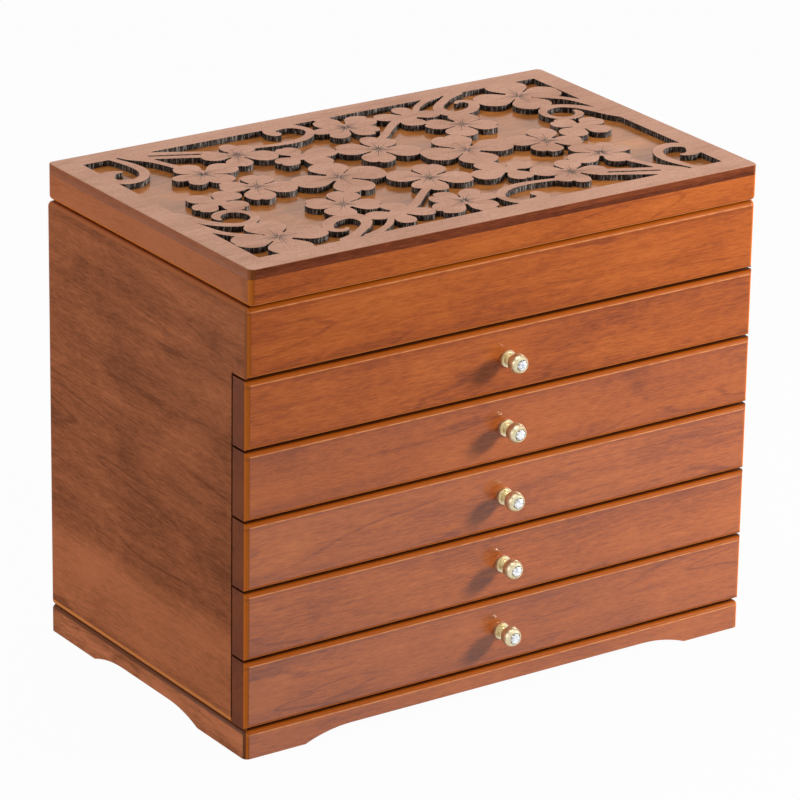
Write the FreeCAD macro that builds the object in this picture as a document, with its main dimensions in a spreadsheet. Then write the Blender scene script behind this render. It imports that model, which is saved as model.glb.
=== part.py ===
import FreeCAD, Part
import math
import os

import Sketcher

# A wooden ring box: a case with five drawers, a plinth on bracket feet and a hinged lid
# whose top is a fretwork sheet of flowers and scrolls. Millimetres, +Z up, fronts to -Y.
# The origin is at the middle of the bottom of the whole object's box.

SIZES = {
    # whole box
    "box_width": 301.8,
    "box_depth": 186.0,
    "box_height": 252.5,
    "corner_radius": 3.0,
    "edge_radius": 2.5,
    # plinth
    "plinth_height": 14.7,
    "plinth_thickness": 12.0,
    "base_thickness": 6.0,
    "arch_height": 5.2,
    "arch_radius": 72.0,
    "front_foot_length": 35.0,
    "side_foot_length": 44.0,
    # case
    "side_thickness": 10.0,
    "front_thickness": 12.0,
    "back_thickness": 8.0,
    "rail_height": 35.6,
    "front_setback": 1.2,
    # drawers
    "front_gap": 1.2,
    "drawer_side_thickness": 6.0,
    "drawer_headroom": 2.4,
    "drawer_back_thickness": 5.0,
    "drawer_bottom_thickness": 3.0,
    "drawer_bottom_lift": 1.0,
    "drawer_clearance": 0.6,
    "runner_height": 2.9,
    "runner_width": 7.0,
    # linings
    "lining_clearance": 0.3,
    "lining_floor": 1.6,
    "lining_wall": 2.2,
    "lining_divider": 4.0,
    "lining_headroom": 1.0,
    # top tray
    "tray_thickness": 4.0,
    "tray_headroom": 4.0,
    "ring_space_width": 124.0,
    "roll_radius": 8.6,
    "roll_card": 1.4,
    "roll_clearance": 0.5,
    # lid
    "lid_height": 19.0,
    "lid_overhang": 1.5,
    "lid_side_setback": 0.9,
    "lid_gap": 0.7,
    "lid_frame_thickness": 12.0,
    "lid_panel_thickness": 2.3,
    "fretwork_thickness": 3.0,
    "fretwork_rim": 13.0,
    "fretwork_edge_radius": 0.5,
    "mirror_thickness": 3.0,
    "mirror_margin": 3.0,
    # hinges
    "hinge_length": 26.0,
    "hinge_inset": 42.0,
    "hinge_leaf_thickness": 1.0,
    "hinge_leaf_width": 7.0,
    "hinge_offset": 1.8,
    "knuckle_radius": 2.0,
    "knuckle_gap": 0.2,
    "hinge_pin_radius": 0.8,
    "pin_clearance": 0.05,
    "screw_radius": 1.0,
    "screw_clearance": 0.05,
    "screw_head_radius": 1.7,
    "screw_length": 7.5,
    "screw_inset": 5.0,
    # knobs
    "knob_projection": 13.8,
    "knob_ball_radius": 5.1,
    "rosette_radius": 4.3,
    "rosette_thickness": 1.0,
    "collar_radius": 3.3,
    "collar_thickness": 0.9,
    "neck_radius": 1.9,
    "stud_radius": 1.5,
    "stud_clearance": 0.1,
    "thread_clearance": 0.05,
    "nut_radius": 3.2,
    "nut_thickness": 2.0,
    "nut_recess_radius": 4.0,
    "nut_recess_depth": 2.6,
    "crystal_radius": 2.9,
    "crystal_clearance": 0.1,
    "crystal_height": 2.6,
    "crystal_girdle": 1.2,
    "crystal_table_radius": 1.7,
    "crystal_rise": 1.4,
    "bezel_width": 0.5,
}

DRAWER_COUNT = 5
ROLL_COUNT = 8
# compartments of each drawer's lining, top drawer first: across the width, from front to back
DRAWER_GRID_COUNTS = [(3, 2), (4, 1), (3, 1), (2, 1), (1, 1)]
TRAY_GRID_COUNT = (1, 2)
TOUCH = 1e-4

DOC = FreeCAD.newDocument("ring_box")
AXES = {"x": FreeCAD.Vector(1, 0, 0), "y": FreeCAD.Vector(0, 1, 0), "z": FreeCAD.Vector(0, 0, 1)}


class Size:
    """A length together with the spreadsheet expression that it comes from."""

    def __init__(self, value, text):
        self.value = value
        self.text = text

    def __add__(self, other):
        other = as_size(other)
        return Size(self.value + other.value, f"({self.text} + {other.text})")

    def __sub__(self, other):
        other = as_size(other)
        return Size(self.value - other.value, f"({self.text} - {other.text})")

    def __mul__(self, other):
        other = as_size(other)
        return Size(self.value * other.value, f"({self.text} * {other.text})")

    def __truediv__(self, other):
        other = as_size(other)
        return Size(self.value / other.value, f"({self.text} / {other.text})")

    def __neg__(self):
        return Size(-self.value, f"(0 - {self.text})")

    def root(self):
        return Size(math.sqrt(self.value), f"sqrt({self.text})")


def as_size(number):
    """Numbers join in arithmetic with sizes."""
    if isinstance(number, Size):
        return number
    return Size(float(number), f"({float(number)!r})")


def make_sheet():
    """The spreadsheet holds one driving size a row, with its name beside it."""
    sheet = DOC.addObject("Spreadsheet::Sheet", "Sizes")
    for row, (alias, value) in enumerate(SIZES.items(), start=1):
        sheet.set(f"A{row}", alias)
        sheet.set(f"B{row}", str(value))
        sheet.setAlias(f"B{row}", alias)
    DOC.recompute()
    return {alias: Size(float(sheet.get(alias)), f"Sizes.{alias}") for alias in SIZES}


S = make_sheet()


class Level:
    """Heights and planes that several sub-parts share."""

    half_width = S["box_width"] / 2
    barrel_reach = S["hinge_offset"] + S["knuckle_radius"]
    front = (S["knob_projection"] - barrel_reach - S["box_depth"]) / 2
    back = front + S["box_depth"]
    front_inner = front + S["front_thickness"]
    back_inner = back - S["back_thickness"]
    side_inner = half_width - S["side_thickness"]
    side_front = front_inner + S["front_setback"]
    lid_half_width = half_width - S["lid_side_setback"]
    lid_front = front - S["lid_overhang"]
    plinth_top = S["plinth_height"]
    lid_bottom = S["box_height"] - S["lid_height"]
    case_top = lid_bottom - S["lid_gap"]
    rail_bottom = case_top - S["rail_height"]
    front_height = (rail_bottom - plinth_top - S["front_gap"] * (DRAWER_COUNT + 1)) / DRAWER_COUNT
    pitch = front_height + S["front_gap"]
    tray_top = rail_bottom + S["tray_thickness"]
    fretwork_bottom = S["box_height"] - S["fretwork_thickness"]
    panel_bottom = fretwork_bottom - S["lid_panel_thickness"]
    hinge_y = back + S["hinge_offset"]
    hinge_z = case_top + S["lid_gap"] / 2
    hinge_x = half_width - S["hinge_inset"] - S["hinge_length"] / 2


def drawer_floor(number):
    """Bottom of a drawer's front; drawer 1 is at the top."""
    return Level.plinth_top + S["front_gap"] + Level.pitch * (DRAWER_COUNT - number)


# ---------------------------------------------------------------- building blocks


def new_body(name):
    return DOC.addObject("PartDesign::Body", name)


def new_sketch(body, name, role, offset):
    """A sketch on one of the body's own origin planes, moved along the plane's normal."""
    sketch = body.newObject("Sketcher::SketchObject", name)
    plane = next(plane for plane in body.Origin.OriginFeatures if plane.Role == role)
    sketch.AttachmentSupport = [(plane, "")]
    sketch.MapMode = "FlatFace"
    sketch.setExpression("AttachmentOffset.Base.z", offset.text)
    return sketch


def hold(sketch, kind, element, point, size):
    """Fix one distance of a sketch point from the sketch's origin."""
    index = sketch.addConstraint(Sketcher.Constraint(kind, -1, 1, element, point, size.value))
    sketch.setExpression(f"Constraints[{index}]", size.text)


def add_outline(sketch, corners):
    """A closed outline of straight lines through the corners."""
    corners = [(as_size(u), as_size(v)) for u, v in corners]
    first = sketch.GeometryCount
    points = [FreeCAD.Vector(u.value, v.value, 0) for u, v in corners]
    for start, end in zip(points, points[1:] + points[:1]):
        sketch.addGeometry(Part.LineSegment(start, end), False)
    for index in range(len(corners)):
        following = first + (index + 1) % len(corners)
        sketch.addConstraint(Sketcher.Constraint("Coincident", first + index, 2, following, 1))
    for index, (u, v) in enumerate(corners):
        hold(sketch, "DistanceX", first + index, 1, u)
        hold(sketch, "DistanceY", first + index, 1, v)


def add_rectangle(sketch, left, right, low, high):
    add_outline(sketch, [(left, low), (right, low), (right, high), (left, high)])


def add_circle(sketch, u, v, radius):
    u, v = as_size(u), as_size(v)
    centre = FreeCAD.Vector(u.value, v.value, 0)
    circle = sketch.addGeometry(Part.Circle(centre, AXES["z"], radius.value), False)
    hold(sketch, "DistanceX", circle, 3, u)
    hold(sketch, "DistanceY", circle, 3, v)
    index = sketch.addConstraint(Sketcher.Constraint("Radius", circle, radius.value))
    sketch.setExpression(f"Constraints[{index}]", radius.text)


def pad(body, sketch, length):
    feature = body.newObject("PartDesign::Pad", f"{sketch.Name}_pad")
    feature.Profile = sketch
    feature.setExpression("Length", length.text)
    return feature


def pocket(body, sketch, depth=None, backwards=False):
    """Cut a sketch out of the body: right through both ways, or to a depth."""
    DOC.recompute()
    before = body.Shape.Volume
    feature = body.newObject("PartDesign::Pocket", f"{sketch.Name}_cut")
    feature.Profile = sketch
    if depth is None:
        feature.Type = "ThroughAll"
        feature.SideType = "Symmetric"
    else:
        feature.Reversed = backwards
        feature.setExpression("Length", depth.text)
    DOC.recompute()
    if body.Shape.Volume >= before:
        raise ValueError(f"{feature.Name} cuts nothing")
    return feature


def round_edges(body, name, radius, wanted):
    """Round the edges of the body's last feature that a test picks."""
    DOC.recompute()
    tip = body.Tip
    edges = [f"Edge{count}" for count, edge in enumerate(tip.Shape.Edges, start=1) if wanted(edge)]
    feature = body.newObject("PartDesign::Fillet", name)
    feature.Base = (tip, edges)
    feature.setExpression("Radius", radius.text)
    return feature


def bevel_edges(body, name, width, wanted):
    DOC.recompute()
    tip = body.Tip
    edges = [f"Edge{count}" for count, edge in enumerate(tip.Shape.Edges, start=1) if wanted(edge)]
    feature = body.newObject("PartDesign::Chamfer", name)
    feature.Base = (tip, edges)
    feature.setExpression("Size", width.text)
    return feature


def lies_in(axis, place):
    """Test for edges that lie in the plane square to an axis at a place."""
    def test(edge):
        return all(abs(getattr(vertex.Point, axis) - place.value) < TOUCH for vertex in edge.Vertexes)
    return test


def runs_along(axis):
    """Test for straight edges that run along an axis."""
    def test(edge):
        if edge.Curve.TypeId != "Part::GeomLine":
            return False
        return abs(abs(edge.tangentAt(edge.FirstParameter).dot(AXES[axis])) - 1) < TOUCH
    return test


def prism(name, role, corners, start, length):
    """A body with a straight-sided section, from start towards the positive axis."""
    body = new_body(name)
    offset = -(start + length) if role == "XZ_Plane" else start
    sketch = new_sketch(body, f"{name}_outline", role, offset)
    add_outline(sketch, corners)
    pad(body, sketch, length)
    return body


def block(name, xs, ys, zs):
    """A plain box between pairs of places."""
    box = DOC.addObject("Part::Box", name)
    for side, axis, (low, high) in zip(("Length", "Width", "Height"), "xyz", (xs, ys, zs)):
        low, high = as_size(low), as_size(high)
        box.setExpression(side, (high - low).text)
        box.setExpression(f"Placement.Base.{axis}", low.text)
    return box


def cylinder(name, radius, height, place, direction=AXES["z"]):
    rod = DOC.addObject("Part::Cylinder", name)
    rod.setExpression("Radius", radius.text)
    rod.setExpression("Height", height.text)
    stand(rod, place, direction)
    return rod


def stand(shape, place, direction=AXES["z"]):
    """Point a shape's own Z along a direction and move it to a place."""
    turn = FreeCAD.Rotation(AXES["z"], direction)
    shape.Placement = FreeCAD.Placement(FreeCAD.Vector(0, 0, 0), turn)
    for axis, distance in zip("xyz", place):
        shape.setExpression(f"Placement.Base.{axis}", as_size(distance).text)


def cut(name, base, tools):
    """Take one or more tools away from a base."""
    result = DOC.addObject("Part::Cut", name)
    result.Base = base
    if len(tools) == 1:
        result.Tool = tools[0]
    else:
        result.Tool = group(f"{name}_tools", tools)
    return result


def common(name, base, tool):
    result = DOC.addObject("Part::Common", name)
    result.Base = base
    result.Tool = tool
    return result


def fuse(name, shapes):
    result = DOC.addObject("Part::MultiFuse", name)
    result.Shapes = shapes
    return result


def group(name, members):
    """Several solids that make up one node."""
    result = DOC.addObject("Part::Compound", name)
    result.Links = members
    return result


# ---------------------------------------------------------------- plinth


def add_arch(sketch, left, right):
    """A low arch under a board: a flat top that curves down to the floor at both ends."""
    height, radius = S["arch_height"], S["arch_radius"]
    reach = (radius * radius - (radius - height) * (radius - height)).root()
    crown_left, crown_right = left + reach, right - reach
    below = as_size(-1)
    corners = [(left, 0), (left, below), (right, below), (right, 0)]
    points = [FreeCAD.Vector(as_size(u).value, as_size(v).value, 0) for u, v in corners]
    lines = [sketch.addGeometry(Part.LineSegment(start, end), False)
             for start, end in zip(points, points[1:])]
    for line, (u, v) in zip(lines, corners):
        hold(sketch, "DistanceX", line, 1, as_size(u))
        hold(sketch, "DistanceY", line, 1, as_size(v))
    hold(sketch, "DistanceX", lines[2], 2, right)
    hold(sketch, "DistanceY", lines[2], 2, as_size(0))
    sketch.addConstraint(Sketcher.Constraint("Coincident", lines[0], 2, lines[1], 1))
    sketch.addConstraint(Sketcher.Constraint("Coincident", lines[1], 2, lines[2], 1))
    slope = math.asin(reach.value / radius.value)
    arcs = []
    for crown, start, end in ((crown_right, math.pi / 2 - slope, math.pi / 2),
                              (crown_left, math.pi / 2, math.pi / 2 + slope)):
        centre = FreeCAD.Vector(crown.value, height.value - radius.value, 0)
        circle = Part.Circle(centre, AXES["z"], radius.value)
        arcs.append(sketch.addGeometry(Part.ArcOfCircle(circle, start, end), False))
        hold(sketch, "DistanceX", arcs[-1], 3, crown)
        hold(sketch, "DistanceY", arcs[-1], 3, height - radius)
    top = sketch.addGeometry(Part.LineSegment(
        FreeCAD.Vector(crown_right.value, height.value, 0),
        FreeCAD.Vector(crown_left.value, height.value, 0)), False)
    for first, first_end, second, second_end in (
            (lines[2], 2, arcs[0], 1), (arcs[0], 2, top, 1), (top, 2, arcs[1], 1), (arcs[1], 2, lines[0], 1)):
        sketch.addConstraint(Sketcher.Constraint("Coincident", first, first_end, second, second_end))
    hold(sketch, "DistanceX", arcs[0], 2, crown_right)
    hold(sketch, "DistanceX", arcs[1], 1, crown_left)


def mitred_boards(ring, thickness, right, front, low, high, names):
    """Part a ring into its front, back, left and right boards, mitred at the corners."""
    left, back = -right, Level.back
    outer = [(left, front), (right, front), (right, back), (left, back)]
    inner = [(left + thickness, front + thickness), (right - thickness, front + thickness),
             (right - thickness, back - thickness), (left + thickness, back - thickness)]
    boards = {}
    for name, first, second in zip(names, (0, 2, 3, 1), (1, 3, 0, 2)):
        section = [outer[first], outer[second], inner[second], inner[first]]
        wedge = prism(f"{name}_wedge", "XY_Plane", section, low, high - low)
        boards[name] = common(name, ring, wedge)
    return boards


def build_plinth():
    """Four mitred boards on bracket feet, and the base board that they carry between them."""
    right, front, back, thick = Level.half_width, Level.front, Level.back, S["plinth_thickness"]
    top = Level.plinth_top
    ring = prism("plinth_ring", "XY_Plane",
                 [(-right, front), (right, front), (right, back), (-right, back)], as_size(0), top)
    round_edges(ring, "plinth_corners", S["corner_radius"], runs_along("z"))
    round_edges(ring, "plinth_rounding", S["edge_radius"], lies_in("z", top))
    inside = new_sketch(ring, "plinth_inside", "XY_Plane", as_size(0))
    add_rectangle(inside, thick - right, right - thick, front + thick, back - thick)
    pocket(ring, inside)
    arch = new_sketch(ring, "front_arch", "XZ_Plane", as_size(0))
    add_arch(arch, S["front_foot_length"] - right, right - S["front_foot_length"])
    pocket(ring, arch)
    arch = new_sketch(ring, "side_arch", "YZ_Plane", as_size(0))
    add_arch(arch, front + S["side_foot_length"], back - S["side_foot_length"])
    pocket(ring, arch)
    nodes = mitred_boards(ring, thick, right, front, as_size(0), top,
                          ("plinth_front", "plinth_back", "plinth_left", "plinth_right"))
    nodes["base_board"] = block("base_board", (thick - right, right - thick),
                                (front + thick, back - thick), (top - S["base_thickness"], top))
    return nodes


# ---------------------------------------------------------------- case


def side_board(name, outer, inner, start):
    """A side panel: full depth above the drawers, set back behind their fronts below."""
    front, back = Level.front, Level.back
    low, step, top = Level.plinth_top, Level.rail_bottom, Level.case_top
    section = [(Level.side_front, low), (back, low), (back, top), (front, top),
               (front, step), (Level.side_front, step)]
    board = prism(name, "YZ_Plane", section, start, S["side_thickness"])
    mitre = new_sketch(board, f"{name}_mitre", "XY_Plane", top)
    overshoot = (inner - outer) / 10
    add_outline(mitre, [(outer, front), (inner, Level.front_inner), (inner + overshoot, Level.front_inner),
                        (inner + overshoot, front - S["corner_radius"]), (outer, front - S["corner_radius"])])
    pocket(board, mitre, top - step)
    return board


def build_case():
    """Side panels, back, the rail above the drawers and the strips that the drawers run on."""
    right, front, back = Level.half_width, Level.front, Level.back
    inner, low, top = Level.side_inner, Level.plinth_top, Level.case_top
    envelope = prism("case_envelope", "XY_Plane",
                     [(-right, front), (right, front), (right, back), (-right, back)], low, top - low)
    round_edges(envelope, "case_corners", S["corner_radius"], runs_along("z"))
    round_edges(envelope, "case_top_rounding", S["edge_radius"], lies_in("z", top))
    round_edges(envelope, "case_foot_rounding", S["edge_radius"], lies_in("z", low))
    left_board = side_board("left_board", -right, -inner, -right)
    right_board = side_board("right_board", right, inner, inner)
    rail = prism("rail_board", "XY_Plane", [(-right, front), (right, front), (inner, Level.front_inner),
                                            (-inner, Level.front_inner)], Level.rail_bottom, S["rail_height"])
    lower_front = lies_in("z", Level.rail_bottom)
    at_front = lies_in("y", front)
    round_edges(rail, "rail_rounding", S["edge_radius"], lambda edge: lower_front(edge) and at_front(edge))
    back_board = block("back_board", (-inner, inner), (Level.back_inner, back), (low, top))
    nodes = {
        "left_side_panel": common("left_side_panel", left_board, envelope),
        "right_side_panel": common("right_side_panel", right_board, envelope),
        "top_front_rail": common("top_front_rail", rail, envelope),
    }
    rounded_back = common("rounded_back_board", back_board, envelope)
    sinkings = hinge_sinkings("case", -1)
    nodes["back_panel"] = cut("back_panel", rounded_back, sinkings)
    strips = []
    for number in range(1, DRAWER_COUNT + 1):
        foot = drawer_floor(number) - S["front_gap"]
        height = (foot, foot + S["runner_height"])
        depth = (Level.side_front, Level.back_inner)
        strips.append(block(f"runner_left_{number}", (-inner, S["runner_width"] - inner), depth, height))
        strips.append(block(f"runner_right_{number}", (inner - S["runner_width"], inner), depth, height))
    nodes["drawer_runners"] = group("drawer_runners", strips)
    return nodes


# ---------------------------------------------------------------- linings and tray


def compartments(sketch, xs, ys, grid):
    """Rectangles between walls and dividers, evenly spaced."""
    across, along = grid
    divider = S["lining_divider"]
    cell_x = (xs[1] - xs[0] - divider * (across - 1)) / across
    cell_y = (ys[1] - ys[0] - divider * (along - 1)) / along
    for column in range(across):
        for row in range(along):
            left = xs[0] + (cell_x + divider) * column
            near = ys[0] + (cell_y + divider) * row
            add_rectangle(sketch, left, left + cell_x, near, near + cell_y)


def lining(name, xs, ys, low, height, spaces):
    """A padded insert with open compartments; spaces lists their areas and grids."""
    corners = [(xs[0], ys[0]), (xs[1], ys[0]), (xs[1], ys[1]), (xs[0], ys[1])]
    body = prism(name, "XY_Plane", corners, low, height)
    sketch = new_sketch(body, f"{name}_compartments", "XY_Plane", low + height)
    for space_xs, space_ys, grid in spaces:
        compartments(sketch, space_xs, space_ys, grid)
    pocket(body, sketch, height - S["lining_floor"])
    return body


def build_tray():
    """The fixed tray under the lid: a floor, a padded lining and a comb of ring rolls."""
    inner, near, far = Level.side_inner, Level.front_inner, Level.back_inner
    gap, wall = S["lining_clearance"], S["lining_wall"]
    low, top = Level.tray_top, Level.case_top - S["tray_headroom"]
    xs, ys = (gap - inner, inner - gap), (near + gap, far - gap)
    ring_xs = (xs[0] + wall, xs[0] + wall + S["ring_space_width"])
    free_xs = (ring_xs[1] + S["lining_divider"], xs[1] - wall)
    space_ys = (ys[0] + wall, ys[1] - wall)
    nodes = {
        "tray_floor": block("tray_floor", (-inner, inner), (near, far), (Level.rail_bottom, low)),
        "tray_lining": lining("tray_lining", xs, ys, low, top - low,
                              [(ring_xs, space_ys, (1, 1)), (free_xs, space_ys, TRAY_GRID_COUNT)]),
        "ring_rolls": ring_rolls(ring_xs, space_ys, low + S["lining_floor"]),
    }
    return nodes


def ring_rolls(xs, ys, low):
    """Rounded pads side by side on one card, with a slot for rings between each two."""
    gap, radius = S["roll_clearance"], S["roll_radius"]
    left, right, near, far = xs[0] + gap, xs[1] - gap, ys[0] + gap, ys[1] - gap
    pitch = (far - near) / ROLL_COUNT
    body = prism("ring_rolls", "XY_Plane", [(left, near), (right, near), (right, far), (left, far)],
                 low, S["roll_card"])
    card_top = low + S["roll_card"]
    first = (near + far) / 2 - pitch * (ROLL_COUNT - 1) / 2
    sketch = new_sketch(body, "roll_section", "YZ_Plane", left)
    centre = FreeCAD.Vector(first.value, card_top.value, 0)
    half = Part.ArcOfCircle(Part.Circle(centre, AXES["z"], radius.value), 0, math.pi)
    arc = sketch.addGeometry(half, False)
    chord = sketch.addGeometry(Part.LineSegment(centre - AXES["x"] * radius.value,
                                                centre + AXES["x"] * radius.value), False)
    sketch.addConstraint(Sketcher.Constraint("Coincident", arc, 2, chord, 1))
    sketch.addConstraint(Sketcher.Constraint("Coincident", chord, 2, arc, 1))
    sketch.addConstraint(Sketcher.Constraint("Horizontal", chord))
    hold(sketch, "DistanceX", arc, 3, first)
    hold(sketch, "DistanceY", arc, 3, card_top)
    hold(sketch, "DistanceY", chord, 1, card_top)
    index = sketch.addConstraint(Sketcher.Constraint("Radius", arc, radius.value))
    sketch.setExpression(f"Constraints[{index}]", radius.text)
    roll = pad(body, sketch, right - left)
    DOC.recompute()
    rows = body.newObject("PartDesign::LinearPattern", "roll_rows")
    rows.Originals = [roll]
    y_axis = next(axis for axis in body.Origin.OriginFeatures if axis.Role == "Y_Axis")
    rows.Direction = (y_axis, [""])
    rows.setExpression("Length", (pitch * (ROLL_COUNT - 1)).text)
    rows.Occurrences = ROLL_COUNT
    body.Tip = rows
    return body


# ---------------------------------------------------------------- drawers


def drawer_front(name, low):
    """An overlay front, rounded all round its face, drilled for the knob's stud and nut."""
    right, front, inside = Level.half_width, Level.front, Level.front_inner
    high = low + Level.front_height
    body = prism(name, "XZ_Plane", [(-right, low), (right, low), (right, high), (-right, high)],
                 front, S["front_thickness"])
    round_edges(body, f"{name}_rounding", S["edge_radius"], lies_in("y", front))
    middle = low + Level.front_height / 2
    hole = new_sketch(body, f"{name}_stud_hole", "XZ_Plane", -inside)
    add_circle(hole, 0, middle, S["stud_radius"] + S["stud_clearance"])
    pocket(body, hole)
    recess = new_sketch(body, f"{name}_nut_recess", "XZ_Plane", -inside)
    add_circle(recess, 0, middle, S["nut_recess_radius"])
    pocket(body, recess, S["nut_recess_depth"], backwards=True)
    return body


def spin(body, sketch):
    """Turn a half section about the sketch's horizontal axis."""
    feature = body.newObject("PartDesign::Revolution", f"{sketch.Name}_turning")
    feature.Profile = sketch
    feature.ReferenceAxis = (sketch, ["H_Axis"])
    feature.Angle = 360
    return feature


def knob_levels():
    """Distances along a knob from the drawer's face; outwards is negative."""
    seat_depth = S["crystal_height"] - S["crystal_rise"]
    mouth = S["crystal_rise"] - S["knob_projection"]
    mouth_radius = S["crystal_radius"] + S["crystal_clearance"] + S["bezel_width"]
    ball = S["knob_ball_radius"]
    centre = mouth + (ball * ball - mouth_radius * mouth_radius).root()
    neck_end = centre + (ball * ball - S["neck_radius"] * S["neck_radius"]).root()
    return mouth, mouth + seat_depth, mouth_radius, centre, neck_end


def knob_turning(name):
    """Rosette, collar, neck and ball, with a seat for the crystal and a stud behind."""
    body = new_body(name)
    sketch = new_sketch(body, f"{name}_section", "YZ_Plane", as_size(0))
    mouth, seat, mouth_radius, centre, neck_end = knob_levels()
    stud_end = S["front_thickness"] - S["nut_recess_depth"] + S["nut_thickness"]
    rosette, collar = S["rosette_thickness"], S["rosette_thickness"] + S["collar_thickness"]
    well = S["crystal_radius"] + S["crystal_clearance"]
    corners = [
        (neck_end, S["neck_radius"]), (-collar, S["neck_radius"]), (-collar, S["collar_radius"]),
        (-rosette, S["collar_radius"]), (-rosette, S["rosette_radius"]), (0, S["rosette_radius"]),
        (0, S["stud_radius"]), (stud_end, S["stud_radius"]), (stud_end, 0), (seat, 0),
        (seat, well), (mouth, well), (mouth, mouth_radius),
    ]
    corners = [(as_size(u), as_size(v)) for u, v in corners]
    points = [FreeCAD.Vector(u.value, v.value, 0) for u, v in corners]
    lines = [sketch.addGeometry(Part.LineSegment(start, end), False)
             for start, end in zip(points, points[1:])]
    for line, following in zip(lines, lines[1:]):
        sketch.addConstraint(Sketcher.Constraint("Coincident", line, 2, following, 1))
    for line, (u, v) in zip(lines, corners):
        hold(sketch, "DistanceX", line, 1, u)
        hold(sketch, "DistanceY", line, 1, v)
    hold(sketch, "DistanceX", lines[-1], 2, mouth)
    hold(sketch, "DistanceY", lines[-1], 2, mouth_radius)
    ball_centre = FreeCAD.Vector(centre.value, 0, 0)
    start = math.atan2(S["neck_radius"].value, neck_end.value - centre.value)
    end = math.atan2(mouth_radius.value, mouth.value - centre.value)
    ball = Part.ArcOfCircle(Part.Circle(ball_centre, AXES["z"], S["knob_ball_radius"].value), start, end)
    arc = sketch.addGeometry(ball, False)
    sketch.addConstraint(Sketcher.Constraint("Coincident", arc, 1, lines[0], 1))
    sketch.addConstraint(Sketcher.Constraint("Coincident", arc, 2, lines[-1], 2))
    hold(sketch, "DistanceX", arc, 3, centre)
    spin(body, sketch)
    return body


def hexagon(radius):
    """Corners of a six-sided outline about the origin."""
    return [(radius * math.cos(math.pi * turn / 3), radius * math.sin(math.pi * turn / 3))
            for turn in range(6)]


def knob_nut(name):
    """The hexagon nut on the end of a knob's stud."""
    start = S["front_thickness"] - S["nut_recess_depth"]
    body = prism(name, "XZ_Plane", hexagon(S["nut_radius"]), start, S["nut_thickness"])
    bore = new_sketch(body, f"{name}_bore", "XZ_Plane", -start)
    add_circle(bore, 0, 0, S["stud_radius"] + S["thread_clearance"])
    pocket(body, bore)
    return body


def octagon(sketch, radius):
    corner = [(radius * math.cos(math.pi * (turn + 0.5) / 4), radius * math.sin(math.pi * (turn + 0.5) / 4))
              for turn in range(8)]
    add_outline(sketch, corner)


def crystal(name):
    """An eight-sided stone: a straight girdle in the knob's seat and a crown up to a flat table."""
    mouth, seat = knob_levels()[:2]
    body = new_body(name)
    girdle = new_sketch(body, f"{name}_girdle", "XZ_Plane", -seat)
    octagon(girdle, S["crystal_radius"])
    pad(body, girdle, S["crystal_girdle"])
    crown = body.newObject("PartDesign::AdditiveLoft", f"{name}_crown")
    shoulder = new_sketch(body, f"{name}_shoulder", "XZ_Plane", -(seat - S["crystal_girdle"]))
    octagon(shoulder, S["crystal_radius"])
    table = new_sketch(body, f"{name}_table", "XZ_Plane", -(seat - S["crystal_height"]))
    octagon(table, S["crystal_table_radius"])
    crown.Profile = shoulder
    crown.Sections = [table]
    crown.Ruled = True
    body.Tip = crown
    return body


def place_on_front(shape, low):
    stand(shape, (0, Level.front, low + Level.front_height / 2))


def build_drawer(number):
    """One drawer: front, two sides, back, bottom, lining, knob with nut, and the knob's crystal."""
    name = f"drawer_{number}"
    low = drawer_floor(number)
    thick, gap = S["drawer_side_thickness"], S["lining_clearance"]
    outer = Level.side_inner - S["drawer_clearance"]
    inner = outer - thick
    near, far = Level.front_inner, Level.back_inner
    back_face = far - S["drawer_back_thickness"]
    foot = low - S["front_gap"] + S["runner_height"]
    top = foot + Level.pitch - S["runner_height"] - S["drawer_headroom"]
    bottom_low = foot + S["drawer_bottom_lift"]
    bottom_top = bottom_low + S["drawer_bottom_thickness"]
    sides = [block(f"{name}_left_side", (-outer, -inner), (near, far), (foot, top)),
             block(f"{name}_right_side", (inner, outer), (near, far), (foot, top))]
    knob, nut, stone = knob_turning(f"knob_turning_{number}"), knob_nut(f"knob_nut_{number}"), \
        crystal(f"{name}_crystal")
    for piece in (knob, nut, stone):
        place_on_front(piece, low)
    xs, ys = (gap - inner, inner - gap), (near + gap, back_face - gap)
    wall = S["lining_wall"]
    space = ((xs[0] + wall, xs[1] - wall), (ys[0] + wall, ys[1] - wall), DRAWER_GRID_COUNTS[number - 1])
    height = top - S["lining_headroom"] - bottom_top
    return {
        f"{name}_front": drawer_front(f"{name}_front", low),
        f"{name}_sides": group(f"{name}_sides", sides),
        f"{name}_back": block(f"{name}_back", (-inner, inner), (back_face, far), (foot, top)),
        f"{name}_bottom": block(f"{name}_bottom", (-inner, inner), (near, back_face),
                                (bottom_low, bottom_top)),
        f"{name}_lining": lining(f"{name}_lining", xs, ys, bottom_top, height, [space]),
        f"{name}_knob": group(f"{name}_knob", [knob, nut]),
        f"{name}_crystal": stone,
    }


# ---------------------------------------------------------------- hinges


def hinge_places():
    return [("left", -Level.hinge_x), ("right", Level.hinge_x)]


def screw_places(side):
    """Where a hinge's two screws stand on each side of its middle."""
    reach = S["hinge_length"] / 2 - S["screw_inset"]
    return [(f"{side}_a", -reach), (f"{side}_b", reach)]


def screw_y():
    return Level.back - S["hinge_leaf_width"] / 2


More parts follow.
